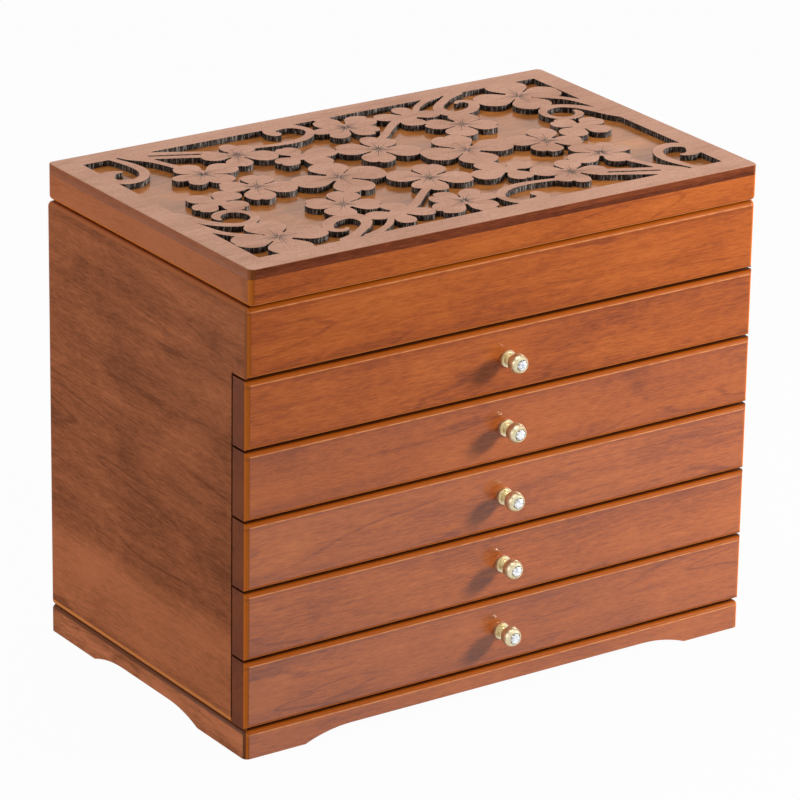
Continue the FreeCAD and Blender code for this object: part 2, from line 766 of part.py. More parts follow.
def hinge_sinkings(part, direction):
    """Tools that sink both leaves and bore the screw holes of the case (-1) or the lid (+1)."""
    face = Level.case_top if direction < 0 else Level.lid_bottom
    tools = []
    for side, middle in hinge_places():
        half = S["hinge_length"] / 2
        bed = face + S["hinge_leaf_thickness"] * direction
        heights = (bed, face + 1) if direction < 0 else (face - 1, bed)
        tools.append(block(f"{part}_bed_{side}", (middle - half, middle + half),
                           (Level.back - S["hinge_leaf_width"], Level.hinge_y), heights))
        for label, offset in screw_places(side):
            tools.append(cylinder(f"{part}_screw_hole_{label}", S["screw_radius"] + S["screw_clearance"],
                                  S["screw_length"] + S["screw_clearance"],
                                  (middle + offset, screw_y(), face), AXES["z"] * direction))
    return tools


def hinge_leaf(name, middle, direction):
    """One leaf with its knuckles: the case's leaf has the two outer ones, the lid's the middle one."""
    body = new_body(name)
    length, radius, gap = S["hinge_length"], S["knuckle_radius"], S["knuckle_gap"]
    half, third = length / 2, length / 6
    near = S["lid_gap"] / 2 * direction
    far = near + S["hinge_leaf_thickness"] * direction
    inside = -(S["hinge_offset"] + S["hinge_leaf_width"])
    plate = new_sketch(body, f"{name}_plate", "YZ_Plane", -half)
    add_rectangle(plate, inside, 0, near, far)
    pad(body, plate, length)
    barrel = new_sketch(body, f"{name}_barrel", "YZ_Plane", -half)
    add_circle(barrel, 0, 0, radius)
    pad(body, barrel, length)
    notch = new_sketch(body, f"{name}_notches", "XY_Plane", as_size(0))
    clear = radius + gap
    if direction < 0:
        add_rectangle(notch, -(third + gap), third + gap, -clear, clear)
    else:
        add_rectangle(notch, third, half + gap, -clear, clear)
        add_rectangle(notch, -(half + gap), -third, -clear, clear)
    pocket(body, notch)
    bore = new_sketch(body, f"{name}_bore", "YZ_Plane", as_size(0))
    add_circle(bore, 0, 0, S["hinge_pin_radius"] + S["pin_clearance"])
    pocket(body, bore)
    holes = new_sketch(body, f"{name}_screw_holes", "XY_Plane", as_size(0))
    for _, offset in screw_places("leaf"):
        add_circle(holes, offset, screw_y() - Level.hinge_y, S["screw_radius"] + S["screw_clearance"])
    pocket(body, holes)
    in_face = lies_in("z", near)

    def is_mouth(edge):
        return edge.Curve.TypeId == "Part::GeomCircle" and in_face(edge)

    bevel_edges(body, f"{name}_countersinks", S["screw_head_radius"] - S["screw_radius"], is_mouth)
    stand(body, (middle, Level.hinge_y, Level.hinge_z))
    return body


def hinge_screws(part, direction):
    """Countersunk screws, their heads flush with the leaves."""
    face = Level.case_top if direction < 0 else Level.lid_bottom
    screws = []
    for side, middle in hinge_places():
        for label, offset in screw_places(side):
            place = (middle + offset, screw_y(), face)
            name = f"{part}_screw_{label}"
            shank = cylinder(f"{name}_shank", S["screw_radius"], S["screw_length"], place,
                             AXES["z"] * direction)
            head = DOC.addObject("Part::Cone", f"{name}_head")
            head.setExpression("Radius1", S["screw_head_radius"].text)
            head.setExpression("Radius2", S["screw_radius"].text)
            head.setExpression("Height", (S["screw_head_radius"] - S["screw_radius"]).text)
            stand(head, place, AXES["z"] * direction)
            screws.append(fuse(name, [shank, head]))
    return group(f"hinge_{part}_screws", screws)


def build_hinges():
    """Two small butt hinges at the back, each with two leaves, a pin and four screws."""
    half = S["hinge_length"] / 2
    case_leaves = [hinge_leaf(f"case_leaf_{side}", middle, -1) for side, middle in hinge_places()]
    lid_leaves = [hinge_leaf(f"lid_leaf_{side}", middle, 1) for side, middle in hinge_places()]
    pins = [cylinder(f"hinge_pin_{side}", S["hinge_pin_radius"], S["hinge_length"],
                     (middle - half, Level.hinge_y, Level.hinge_z), AXES["x"])
            for side, middle in hinge_places()]
    return {
        "hinge_case_leaves": group("hinge_case_leaves", case_leaves),
        "hinge_lid_leaves": group("hinge_lid_leaves", lid_leaves),
        "hinge_pins": group("hinge_pins", pins),
        "hinge_case_screws": hinge_screws("case", -1),
        "hinge_lid_screws": hinge_screws("lid", 1),
    }


# ---------------------------------------------------------------- fretwork

# The pattern is drawn in a window of this size and stretched to the window that the rim leaves.
# It is the same when turned half round, so only one half is listed.
PATTERN_WIDTH = 274.0
PATTERN_DEPTH = 160.0
FLOWER_EYE_SHARE = 0.3
PETAL_START = 0.5
PETAL_ROOT = 1.0
# one side of a petal, from its root to its shoulder, as shares of its length and of its half width
PETAL_SIDE = [(0.26, 0.50), (0.42, 0.82), (0.60, 1.0), (0.79, 0.92), (0.94, 0.64)]
PETAL_CREST = 0.36

# flower: centre x, y and its petals as (direction in degrees, length, half width, depth of notch)
FLOWERS = [
    (-63.8, 53.5, [(78, 17.4, 4.9, 0), (38, 16.4, 5.4, 0), (-33, 20.7, 7.7, 0), (-116, 17.7, 6.8, 0.8),
                   (159, 18.4, 7.0, 0)]),
    (-93.5, 37.5, [(10, 19.8, 8.1, 0.5), (110, 16.4, 7.6, 0.6), (182, 17.9, 4.5, 0), (226, 17.2, 5.0, 0),
                   (-72, 17.8, 7.2, 0)]),
    (-81.8, 8.0, [(55, 17.0, 8.3, 1.6), (152, 18.0, 7.8, 0.8), (-114, 20.2, 7.8, 1.3), (-33, 20.4, 8.4, 0)]),
    (-111.0, -2.5, [(122, 15.8, 6.4, 0.5), (34, 17.8, 7.6, 0), (-58, 15.8, 7.5, 1.2), (203, 15.7, 6.7, 1.2)]),
    (-38.5, 35.0, [(93, 15.8, 6.7, 0.8), (3, 20.9, 7.6, 0), (-64, 18.2, 6.8, 0), (199, 15.5, 6.7, 1.4)]),
    (1.5, 24.5, [(73, 20.3, 5.4, 0), (36, 18.2, 4.6, 0), (149, 21.6, 8.9, 0.9), (-123.5, 20.3, 8.6, 1.5),
                 (-38, 21.3, 8.6, 0)]),
    (7.5, 62.5, [(117, 17.6, 7.8, 1.2), (22, 20.3, 8.5, 1.8), (-57, 17.2, 8.4, 1.9), (-138, 18.6, 5.3, 0),
                 (179, 19.8, 4.6, 0)]),
    (44.5, 60.5, [(77, 15.6, 5.2, 0), (157, 18.2, 5.8, 0), (-109, 14.8, 6.5, 0), (-8, 16.9, 5.9, 0)]),
    (113.0, 60.0, [(80, 24, 11.3, 0), (-7, 23.4, 9.6, 0.3), (-97, 23.0, 10.5, 1.0), (177, 25.2, 10.3, 0)]),
    (60.5, 36.5, [(50, 17.1, 8.0, 1.7), (151, 18.8, 7.9, 1.2), (-124, 19.4, 8.3, 1.0), (-35, 18.4, 7.9, 0.9)]),
    (-39.2, -1.0, [(79, 21.8, 10.2, 0.9), (-6, 24.8, 10.2, 0), (-94.5, 24.0, 10.7, 1.6), (176, 25.0, 9.6, 0)]),
]

# band: its centre line as points, each with the band's half width there; it ends round
BANDS = {
    "corner_hook": [(-121.3, 82.5, 1.8), (-118.7, 75, 2.1), (-116.4, 66, 2.6), (-116.4, 57, 2.7),
                    (-119.8, 50.3, 2.6), (-125.8, 46.1, 2.8), (-132.5, 46.4, 3.2), (-137.3, 51.5, 2.9),
                    (-136.3, 58.3, 3.9), (-131.5, 61.6, 2.8), (-127.3, 61, 1.5)],
    "middle_curl": [(-53, 60.2, 1.8), (-40.5, 57.5, 1.8), (-29.5, 56.7, 2.2), (-20.3, 58.6, 2.4),
                    (-14.6, 62.6, 2.3), (-11.5, 67.8, 2.2), (-12.6, 74, 2.4), (-17, 79.2, 3.3),
                    (-24, 80.8, 4.2), (-29.8, 76.8, 3.4), (-29.4, 71.8, 3.3)],
    "outer_tail": [(74, 82, 4.2), (64.5, 76.6, 2.0), (57, 71.3, 1.8), (51, 64.4, 1.7), (46.6, 61.2, 1.8)],
    "right_curl": [(86.7, 81, 4.6), (78.6, 75.6, 2.5), (72.2, 71, 2.5), (66.3, 65.5, 2.7), (64, 58.8, 3.6),
                   (66.5, 52.7, 4.1), (74, 52.1, 3.4), (80.3, 54.7, 3), (84.6, 59.6, 2.8), (85.5, 65, 2.4),
                   (82, 67.9, 1.9), (78, 66.3, 1)],
    "ring_curl": [(139.5, 8.5, 4.5), (134.3, 18, 3.5), (130.5, 26, 3), (125.5, 32, 2.6), (119.3, 35.6, 2.4),
                  (112.3, 35, 2.5), (107.4, 30.8, 2.2), (106.2, 25, 2), (108.7, 19.4, 1.9), (113.8, 16.4, 2),
                  (119.2, 16.9, 2.3), (123, 20.3, 2.2), (123.6, 24.3, 1.4)],
    "rim_stem": [(120.4, 54.4, 2.4), (128.3, 47.6, 2.3), (133.2, 41, 2.2), (137, 31, 3), (140, 20, 3.4)],
    "ray_root": [(-107, 83, 10), (-107.8, 76.5, 6.6), (-105.2, 69, 2.8), (-101.8, 60.5, 2), (-99.3, 52.5, 2.2)],
    "first_ray": [(-104, 79.6, 2.8), (-73.4, 64.3, 1.6)],
    "second_ray": [(-107, 74, 2), (-79.5, 61.2, 2.1)],
    "stem": [(9.4, 36.2, 2.2), (23.8, 48.2, 2.1), (36.5, 58.2, 2.6), (42.4, 60.4, 2.8)],
    "rim_link": [(4, 74, 5), (4, 82.5, 4.4)],
}


def band_runs(band):
    """Outline of a band: both edges stand off the centre line by the half width, square to it."""
    spots = [FreeCAD.Vector(x, y, 0) for x, y, _ in band]
    line = Part.BSplineCurve()
    line.interpolate(spots)
    halves = [half for _, _, half in band]
    ahead = [FreeCAD.Vector(line.tangent(line.parameter(spot))[0]).normalize() for spot in spots]
    aside = [AXES["z"].cross(way) for way in ahead]
    left = [spot + way * half for spot, way, half in zip(spots, aside, halves)]
    right = [spot - way * half for spot, way, half in zip(spots, aside, halves)]
    tip = spots[-1] + ahead[-1] * halves[-1]
    tail = spots[0] - ahead[0] * halves[0]
    runs = [left, [left[-1], tip, right[-1]], right[::-1], [right[0], tail, left[0]]]
    return [[(point.x, point.y) for point in run] for run in runs]


def petal_runs(x, y, petal):
    """Outline of one petal: a side up from the flower's eye, a round or notched tip and a side back."""
    direction, length, half, notch = petal
    turn = math.radians(direction)

    def at(out, aside):
        return (x + out * math.cos(turn) - aside * math.sin(turn),
                y + out * math.sin(turn) + aside * math.cos(turn))

    side = [(PETAL_START, PETAL_ROOT)] + [(out * length, aside * half) for out, aside in PETAL_SIDE]
    if notch:
        side += [(length, PETAL_CREST * half), (length - notch, 0)]
        rounds = [[at(*spot) for spot in side], [at(out, -aside) for out, aside in reversed(side)]]
    else:
        mirrored = [(out, -aside) for out, aside in reversed(side)]
        rounds = [[at(*spot) for spot in side + [(length, 0)] + mirrored]]
    return rounds + [[at(PETAL_START, -PETAL_ROOT), at(PETAL_START, PETAL_ROOT)]]


class Window:
    """Carries points of the pattern to the window in the lid, upright or turned half round."""

    def __init__(self):
        rim = S["fretwork_rim"].value
        self.width = 2 * (Level.lid_half_width.value - rim)
        self.depth = Level.back.value - Level.lid_front.value - 2 * rim
        self.middle = (Level.lid_front.value + Level.back.value) / 2
        self.low = Level.fretwork_bottom.value

    def point(self, point, turned):
        sign = -1 if turned else 1
        return FreeCAD.Vector(sign * point[0] * self.width / PATTERN_WIDTH,
                              self.middle + sign * point[1] * self.depth / PATTERN_DEPTH, self.low)

    def face(self, runs, turned):
        edges = []
        for run in runs:
            points = [self.point(point, turned) for point in run]
            if len(points) == 2:
                edges.append(Part.LineSegment(*points).toShape())
            elif len(points) == 3:
                edges.append(Part.Arc(*points).toShape())
            else:
                curve = Part.BSplineCurve()
                curve.interpolate(points)
                edges.append(curve.toShape())
        return Part.Face(Part.Wire(edges))

    def outline(self):
        corner = FreeCAD.Vector(-self.width / 2, self.middle - self.depth / 2, self.low)
        return Part.makePlane(self.width, self.depth, corner)


def pattern_faces(window):
    """Every petal, eye and band as a flat face, in both halves of the pattern."""
    faces = []
    for turned in (False, True):
        for x, y, petals in FLOWERS:
            eye = FLOWER_EYE_SHARE * min(length for _, length, _, _ in petals)
            ring = [(x + eye, y), (x, y + eye), (x - eye, y), (x, y - eye)]
            faces.append(window.face([ring[:3], [ring[2], ring[3], ring[0]]], turned))
            faces.extend(window.face(petal_runs(x, y, petal), turned) for petal in petals)
        faces.extend(window.face(band_runs(band), turned) for band in BANDS.values())
    return faces


def build_fretwork():
    """A sheet with rounded outer edges, sawn through wherever the pattern leaves the window open."""
    right, front, back = Level.lid_half_width, Level.lid_front, Level.back
    sheet = prism("fretwork_sheet", "XY_Plane",
                  [(-right, front), (right, front), (right, back), (-right, back)],
                  Level.fretwork_bottom, S["fretwork_thickness"])
    round_edges(sheet, "fretwork_corners", S["corner_radius"], runs_along("z"))
    round_edges(sheet, "fretwork_rounding", S["fretwork_edge_radius"], lies_in("z", S["box_height"]))
    window = Window()
    open_faces = window.outline().cut(pattern_faces(window))
    openings = DOC.addObject("Part::Feature", "fretwork_openings")
    openings.Shape = open_faces.extrude(FreeCAD.Vector(0, 0, S["fretwork_thickness"].value))
    return {"lid_fretwork": cut("lid_fretwork", sheet, [openings])}


# ---------------------------------------------------------------- lid


def build_lid():
    """A mitred frame, the panel that closes it and the mirror under the panel."""
    right, front, back, thick = Level.lid_half_width, Level.lid_front, Level.back, S["lid_frame_thickness"]
    low, high = Level.lid_bottom, Level.panel_bottom
    corners = [(-right, front), (right, front), (right, back), (-right, back)]
    ring = prism("lid_ring", "XY_Plane", corners, low, high - low)
    round_edges(ring, "lid_corners", S["corner_radius"], runs_along("z"))
    round_edges(ring, "lid_rounding", S["edge_radius"], lies_in("z", low))
    inside = new_sketch(ring, "lid_inside", "XY_Plane", low)
    add_rectangle(inside, thick - right, right - thick, front + thick, back - thick)
    pocket(ring, inside)
    nodes = mitred_boards(ring, thick, right, front, low, high,
                          ("lid_front_rail", "lid_back_board", "lid_left_rail", "lid_right_rail"))
    nodes["lid_back_rail"] = cut("lid_back_rail", nodes.pop("lid_back_board"), hinge_sinkings("lid", 1))
    panel = prism("lid_panel", "XY_Plane", corners, high, S["lid_panel_thickness"])
    round_edges(panel, "lid_panel_corners", S["corner_radius"], runs_along("z"))
    nodes["lid_panel"] = panel
    edge = thick + S["mirror_margin"]
    nodes["mirror"] = block("mirror", (edge - right, right - edge), (front + edge, back - edge),
                            (high - S["mirror_thickness"], high))
    nodes.update(build_fretwork())
    return nodes


# ---------------------------------------------------------------- the whole box


def check(nodes):
    """Stop on any failed object or bad shape before anything is written."""
    for item in DOC.Objects:
        if {"Invalid", "Error"} & set(item.State):
            raise ValueError(f"{item.Name} failed: {item.State}")
    for name, node in nodes.items():
        if node.Shape.isNull() or not node.Shape.isValid() or not node.Shape.Solids:
            raise ValueError(f"{name} has no sound shape")


def main():
    nodes = {}
    nodes.update(build_plinth())
    nodes.update(build_case())
    nodes.update(build_tray())
    nodes.update(build_hinges())
    nodes.update(build_lid())
    for number in range(1, DRAWER_COUNT + 1):
        nodes.update(build_drawer(number))
    DOC.recompute()
    check(nodes)
    os.makedirs("parts", exist_ok=True)
    for name, node in nodes.items():
        node.Label = name
        node.Shape.exportStep(f"parts/{name}.step")
        print(f"{name}: {len(node.Shape.Solids)} solids, {node.Shape.Volume:.1f} mm3")
    print(f"{len(nodes)} nodes written")


main()
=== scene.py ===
"""The looks of a wooden ring box: stained boards, a sawn flower lid, velvet linings, jewelled knobs."""
import logging
import math
from dataclasses import dataclass, replace
from enum import Enum
from typing import Any, Iterable, Mapping, Sequence

import bpy
import numpy as np
from mathutils import Matrix, Vector


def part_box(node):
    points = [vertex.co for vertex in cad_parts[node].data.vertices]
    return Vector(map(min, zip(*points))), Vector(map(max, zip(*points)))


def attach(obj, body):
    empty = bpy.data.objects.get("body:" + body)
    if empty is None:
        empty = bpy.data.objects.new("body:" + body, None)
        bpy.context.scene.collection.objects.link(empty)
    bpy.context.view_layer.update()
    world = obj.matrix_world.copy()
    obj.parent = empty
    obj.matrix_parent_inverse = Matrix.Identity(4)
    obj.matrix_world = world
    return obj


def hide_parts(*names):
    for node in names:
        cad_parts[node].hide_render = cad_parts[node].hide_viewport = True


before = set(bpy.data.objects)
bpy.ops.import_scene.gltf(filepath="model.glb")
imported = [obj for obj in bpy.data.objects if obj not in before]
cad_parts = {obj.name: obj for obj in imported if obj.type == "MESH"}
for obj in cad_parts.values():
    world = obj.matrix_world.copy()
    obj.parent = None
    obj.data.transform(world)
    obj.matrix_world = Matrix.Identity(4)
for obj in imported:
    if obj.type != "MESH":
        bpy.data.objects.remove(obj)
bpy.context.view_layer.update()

LOG = logging.getLogger("ring_box")
MM = 0.001
LINING_WALL = 2.2 * MM
LINING_DIVIDER = 4.0 * MM
NOISE_MEAN = 0.5
# Of each drawer from the top: compartments across and along, and the share of varnish on its front.
DRAWERS = (((3, 2), 0.25), ((4, 1), 0.6), ((3, 1), 0.9), ((2, 1), 0.9), ((1, 1), 1.0))

Colour = tuple[float, float, float]
Span = tuple[float, float]
Shape = tuple[np.ndarray, list[np.ndarray]]
Speckle = tuple[tuple[float, float, float], float, float]


class Grain(Enum):
    """The axis that a board's grain runs along."""

    X = 0
    Y = 1

    def stretch(self, along: float, across: float) -> tuple[float, float, float]:
        """Noise scale per metre on each axis, low along the grain and high across it."""
        return tuple(along if axis == self.value else across for axis in range(3))


# ---- shader expressions


class Value:
    """A socket of a node tree that takes part in Python arithmetic."""

    def __init__(self, graph: "Graph", socket: bpy.types.NodeSocket) -> None:
        """Wrap one output socket of a graph's tree."""
        self.graph = graph
        self.socket = socket

    def math(self, operation: str, *others: Any) -> "Value":
        """Return the result of a Math node's operation on this value and others."""
        return self.graph.node("ShaderNodeMath", {"operation": operation},
                               dict(enumerate((self, *others))))

    def __add__(self, other: Any) -> "Value":
        """Sum."""
        return self.math("ADD", other)

    __radd__ = __add__

    def __sub__(self, other: Any) -> "Value":
        """Difference."""
        return self.math("SUBTRACT", other)

    def __rsub__(self, other: Any) -> "Value":
        """Difference with this value taken away."""
        return self.graph.node("ShaderNodeMath", {"operation": "SUBTRACT"}, {0: other, 1: self})

    def __mul__(self, other: Any) -> "Value":
        """Product."""
        return self.math("MULTIPLY", other)

    __rmul__ = __mul__

    def __abs__(self) -> "Value":
        """Size without sign."""
        return self.math("ABSOLUTE")

    def step(self, low: float, high: float) -> "Value":
        """Return a smooth rise from 0 at low to 1 at high; it falls where high is the lesser."""
        ends = {1: low, 2: high} if low <= high else {1: high, 2: low, 3: 1.0, 4: 0.0}
        return self.graph.node("ShaderNodeMapRange", {"interpolation_type": "SMOOTHSTEP"}, {0: self, **ends})

    def between(self, start: float, full: float, fading: float, end: float) -> "Value":
        """Return 1 from full to fading and 0 outside start to end, with smooth flanks."""
        return self.step(start, full) * self.step(end, fading)

    def band(self, middle: float, inner: float, outer: float) -> "Value":
        """Return 1 within inner of a middle and 0 beyond outer, with smooth flanks."""
        return abs(self - middle).step(outer, inner)


class Graph:
    """A material or a world under construction."""

    def __init__(self, name: str, world: bool = False) -> None:
        """Start an empty material or world with an output node.

        Args:
            name: its name.
            world: whether it is a world.
        """
        self.owner = (bpy.data.worlds if world else bpy.data.materials).new(name)
        self.owner.use_nodes = True
        self.tree = self.owner.node_tree
        self.tree.nodes.clear()
        self.output = self.tree.nodes.new("ShaderNodeOutputWorld" if world else "ShaderNodeOutputMaterial")

    def node(self, kind: str, settings: Mapping[str, Any] | None = None,
             inputs: Mapping[Any, Any] | None = None, output: Any = 0) -> Value:
        """Add a node and set it up.

        Args:
            kind: the node's type.
            settings: its properties; "stops" holds a ramp's (position, colour) pairs.
            inputs: values, numbers or colours for its sockets, by name or number.
            output: name or number of the output to return.

        Returns:
            One of its outputs.
        """
        node = self.tree.nodes.new(kind)
        for key, setting in (settings or {}).items():
            if key == "stops":
                self._set_stops(node.color_ramp, setting)
            else:
                setattr(node, key, setting)
        for key, value in (inputs or {}).items():
            self.feed(node.inputs[key], value)
        return Value(self, node.outputs[output])

    @staticmethod
    def _set_stops(ramp: bpy.types.ColorRamp, stops: Sequence[tuple[float, Colour]]) -> None:
        """Give a colour ramp its stops.

        Args:
            ramp: the ramp of a new node.
            stops: positions and their colours, in order.
        """
        while len(ramp.elements) < len(stops):
            ramp.elements.new(1.0)
        for element, (position, colour) in zip(ramp.elements, stops):
            element.position = position
            element.color = (*colour, 1.0)

    def feed(self, socket: bpy.types.NodeSocket, value: Any) -> None:
        """Link a value to a socket, or set the socket to a constant.

        Args:
            socket: an input socket.
            value: a value, a number, or the parts of a colour or vector.
        """
        if isinstance(value, Value):
            self.tree.links.new(value.socket, socket)
        elif isinstance(value, (int, float)):
            socket.default_value = value
        elif len(value) == 3 and len(socket.default_value) == 4:
            socket.default_value = (*value, 1.0)
        else:
            socket.default_value = value

    def axes(self, output: str = "Object") -> tuple[Value, ...]:
        """Return x, y and z of the object's coordinates, or of its normal for "Normal"."""
        split = self.node("ShaderNodeSeparateXYZ", None, {0: self.node("ShaderNodeTexCoord", output=output)})
        return tuple(Value(self, socket) for socket in split.socket.node.outputs)

    def noise(self, scale: Sequence[float], detail: float = 2.0, roughness: float = 0.5,
              shift: Sequence[float] = (0, 0, 0), distortion: float = 0.0) -> Value:
        """Add a noise on object coordinates.

        Args:
            scale: how often it changes in a metre, on each axis.
            detail, roughness, distortion: the Noise node's own settings.
            shift: where in the noise it starts.

        Returns:
            A value between about 0.25 and 0.75.
        """
        place = self.node("ShaderNodeMapping", None, {
            "Vector": self.node("ShaderNodeTexCoord", output="Object"), "Scale": scale, "Location": shift})
        return self.node("ShaderNodeTexNoise", None, {"Vector": place, "Scale": 1.0, "Detail": detail,
                                                      "Roughness": roughness, "Distortion": distortion})

    def ramp(self, factor: Value, stops: Sequence[tuple[float, Colour]]) -> Value:
        """Return a colour that follows a factor through a ramp's stops."""
        return self.node("ShaderNodeValToRGB", {"stops": stops}, {0: factor})

    def blend(self, factor: Value | float, first: Any, second: Any, mode: str = "MIX") -> Value:
        """Return a mix of two colours."""
        return self.node("ShaderNodeMix", {"data_type": "RGBA", "blend_type": mode},
                         {0: factor, 6: first, 7: second}, output=2)

    def bump(self, height: Value, depth: float) -> Value:
        """Return a normal bent by a height between 0 and 1, depth metres deep."""
        return self.node("ShaderNodeBump", None, {"Height": height, "Distance": depth, "Strength": 1.0})

    def background_rays(self) -> Value:
        """Tell the rays that see the background from those that light the box.

        Returns:
            1 for rays of the camera, of gloss and of glass, else 0.
        """
        path = self.node("ShaderNodeLightPath", output="Is Camera Ray")
        glossy, through = (Value(self, path.socket.node.outputs[name])
                           for name in ("Is Glossy Ray", "Is Transmission Ray"))
        return path.math("MAXIMUM", glossy).math("MAXIMUM", through)

    def close(self, shader: Value) -> Any:
        """Join a shader to the output and return the material or world."""
        self.feed(self.output.inputs["Surface"], shader)
        return self.owner

    def principled(self, **sockets: Any) -> Value:
        """Return a Principled shader with the given sockets."""
        return self.node("ShaderNodeBsdfPrincipled", None,
                         {key.replace("_", " "): value for key, value in sockets.items()})

    def finish(self, **sockets: Any) -> bpy.types.Material:
        """Dress the material in a Principled shader with the given sockets and return it."""
        return self.close(self.principled(**sockets))


# ---- finishes


def shade(colour: Colour, share: float) -> Colour:
    """Return a colour at a share of its light."""
    return tuple(share * part for part in colour)


@dataclass(frozen=True)
class Figure:
    """A wood's figure: noise scales per metre along and across the grain, and each layer's share."""

    arches: tuple[float, float] = (3.4, 24)
    fading: tuple[float, float] = (9, 30)
    streaks: tuple[float, float] = (9, 260)
    fibres: tuple[float, float] = (150, 1500)
    blotches: tuple[float, float] = (18, 36)
    rings: float = 15.0
    arch_share: float = 0.35
    streak_share: float = 0.30
    fibre_share: float = 0.75
    ring_share: float = 0.15
    waver: float = 0.03


FIGURE = Figure()


@dataclass(frozen=True)
class StainedWood:
    """Fine straight-grained wood under varnish.

    Attributes:
        dark, middle, pale: its colours by the figure's tone.
        edge, corner, foot_highlight: its colours on roundings, on upright roundings, and of a painted
            highlight of floor light on the rounding along its lower edge.
        edge_highlight: its colour in painted highlights on the roundings above and below its face; it also
            turns on the darker line below its top.
        blotch, figured: how strong its blotches and its lines are.
        gap_shade: how much painted shade darkens its upper and lower faces, in the gaps where boards meet.
        planks_and_floor_light: heights above which it is darker, with how much: glued planks of their own
            tone, and painted floor light that leaves the part below the lowest height lighter.
        edge_darkening: distances from its top and bottom between which it grows darker.
        foot_highlight_height, dark_line_drop: heights of that painted highlight above its bottom and of a
            darker line below its top.
    """

    name: str
    dark: Colour
    middle: Colour
    pale: Colour
    edge: Colour
    edge_highlight: Colour | None = None
    roughness: float = 0.38
    gloss: float = 0.35
    blotch: float = 0.45
    gap_shade: float = 0.0
    planks_and_floor_light: tuple[tuple[float, float], ...] = ()
    figured: float = 1.0
    specular: float = 0.05
    corner: Colour | None = None
    foot_highlight: Colour | None = None
    band_blur: float = 8 * MM
    edge_darkening: Span = (2 * MM, 9 * MM)
    foot_highlight_height: float = 2.1 * MM
    dark_line_drop: float = 3.1 * MM
    fibre_roughness: float = 0.16
    face_varnish: float = 0.78
    edge_varnish: float = 0.1
    varnish_index: float = 1.7
    varnish_roughness: float = 0.12
    fibre_depth: float = 0.03 * MM

    def tone(self, graph: Graph, grain: Grain, board: int, z: Value,
             span: Span | None) -> tuple[Value, Value]:
        """Draw one board's figure.

        Args:
            graph: the material under construction.
            grain: the axis that the grain runs along.
            board: a number that sets the board's own figure.
            z: height.
            span: bottom and top of a board that grows darker towards them.

        Returns:
            How pale the wood is, 0.5 at its middle, and the fibres' height.
        """
        shift = (1.7 * board, 2.3 * board + 0.4, 3.1 * board + 0.9)
        arches = graph.noise(grain.stretch(*FIGURE.arches), 3, 0.45, shift, 0.6)
        fading = graph.noise(grain.stretch(*FIGURE.fading), 1, 0.5, shift).step(0.42, 0.62)
        rings = (arches * FIGURE.rings).math("PINGPONG", 1.0).step(0.80, 1.0) * fading
        streaks = graph.noise(grain.stretch(*FIGURE.streaks), 4, 0.6, shift, 0.2)
        fibres = graph.noise(grain.stretch(*FIGURE.fibres), 3, 0.75, shift)
        blotches = graph.noise(grain.stretch(*FIGURE.blotches), 5, 0.62, shift, 0.4)
        lines = (arches - NOISE_MEAN) * FIGURE.arch_share + (streaks - NOISE_MEAN) * FIGURE.streak_share
        lines = lines + (fibres - NOISE_MEAN) * FIGURE.fibre_share - rings * FIGURE.ring_share
        tone = lines * self.figured + (blotches - NOISE_MEAN) * self.blotch + 0.5
        waver = (arches - NOISE_MEAN) * FIGURE.waver
        # Darker above given heights: glued planks, and painted floor light that keeps the lowest band
        # lighter.
        for height, darker in self.planks_and_floor_light:
            tone = tone - (z + waver).step(height - self.band_blur, height + self.band_blur) * darker
        if span:
            middle, half = (span[0] + span[1]) / 2, (span[1] - span[0]) / 2
            near, far = self.edge_darkening
            tone = tone - abs(z - middle).step(half - far, half - near) * 0.07
        return tone, fibres

    def colour(self, graph: Graph, grain: Grain, board: int,
               span: Span | None = None) -> tuple[Value, Value]:
        """Colour one board by its figure, its edges and its ends.

        Args:
            graph: the material under construction.
            grain: the axis that the grain runs along.
            board: a number that sets the board's own figure.
            span: bottom and top of a board that grows darker towards them.

        Returns:
            The colour and the fibres' height.
        """
        _, _, z = graph.axes()
        nx, ny, nz = graph.axes("Normal")
        tone, fibres = self.tone(graph, grain, board, z, span)
        colour = graph.ramp(tone, [(0.28, self.dark), (0.50, self.middle), (0.70, self.pale)])
        end_grain = abs(nx if grain is Grain.X else ny).step(0.97, 0.995) * 0.6
        colour = graph.blend(end_grain, colour, shade(self.dark, 0.4))
        colour = graph.blend(self.rounding(graph) * 0.92, colour, self.edge)
        if self.corner:
            colour = graph.blend(abs(nx).between(0.25, 0.5, 0.95, 0.99), colour, self.corner)
        # Painted shade on the upper and lower faces and the upper part of the roundings, in the gaps where
        # boards meet.
        gap_shade_mask = abs(nz).step(0.90, 0.985) * self.gap_shade
        colour = graph.blend(gap_shade_mask, colour, shade(self.dark, 0.2))
        # Painted highlight of floor light on the rounding along the bottom of the side panels.
        if self.foot_highlight and span:
            foot_highlight = z.band(span[0] + self.foot_highlight_height, 0.9 * MM, 1.4 * MM) * 0.9
            colour = graph.blend(foot_highlight, colour, self.foot_highlight)
        # A darker line a little below its top.
        if self.edge_highlight and span:
            dark_line = z.band(span[1] - self.dark_line_drop, 0.4 * MM, 0.9 * MM) * 0.35
            colour = graph.blend(dark_line, colour, self.dark)
        # Painted highlight along the top rounding and painted reflection of the floor along the bottom
        # rounding, patchy by noise.
        if self.edge_highlight:
            patchy = graph.noise((160, 160, 160)).step(0.36, 0.56) * 0.4 + 0.45
            crest_highlight = nz.between(0.04, 0.11, 0.24, 0.34) * patchy
            lip_reflection = nz.between(-0.85, -0.75, -0.60, -0.45) * 0.55
            colour = graph.blend(crest_highlight.math("MAXIMUM", lip_reflection), colour, self.edge_highlight)
        return colour, fibres

    @staticmethod
    def rounding(graph: Graph) -> Value:
        """Return 1 on rounded edges: there no part of the surface's normal is close to 1."""
        nx, ny, nz = graph.axes("Normal")
        return abs(nx).math("MAXIMUM", abs(ny)).math("MAXIMUM", abs(nz)).step(0.992, 0.95)

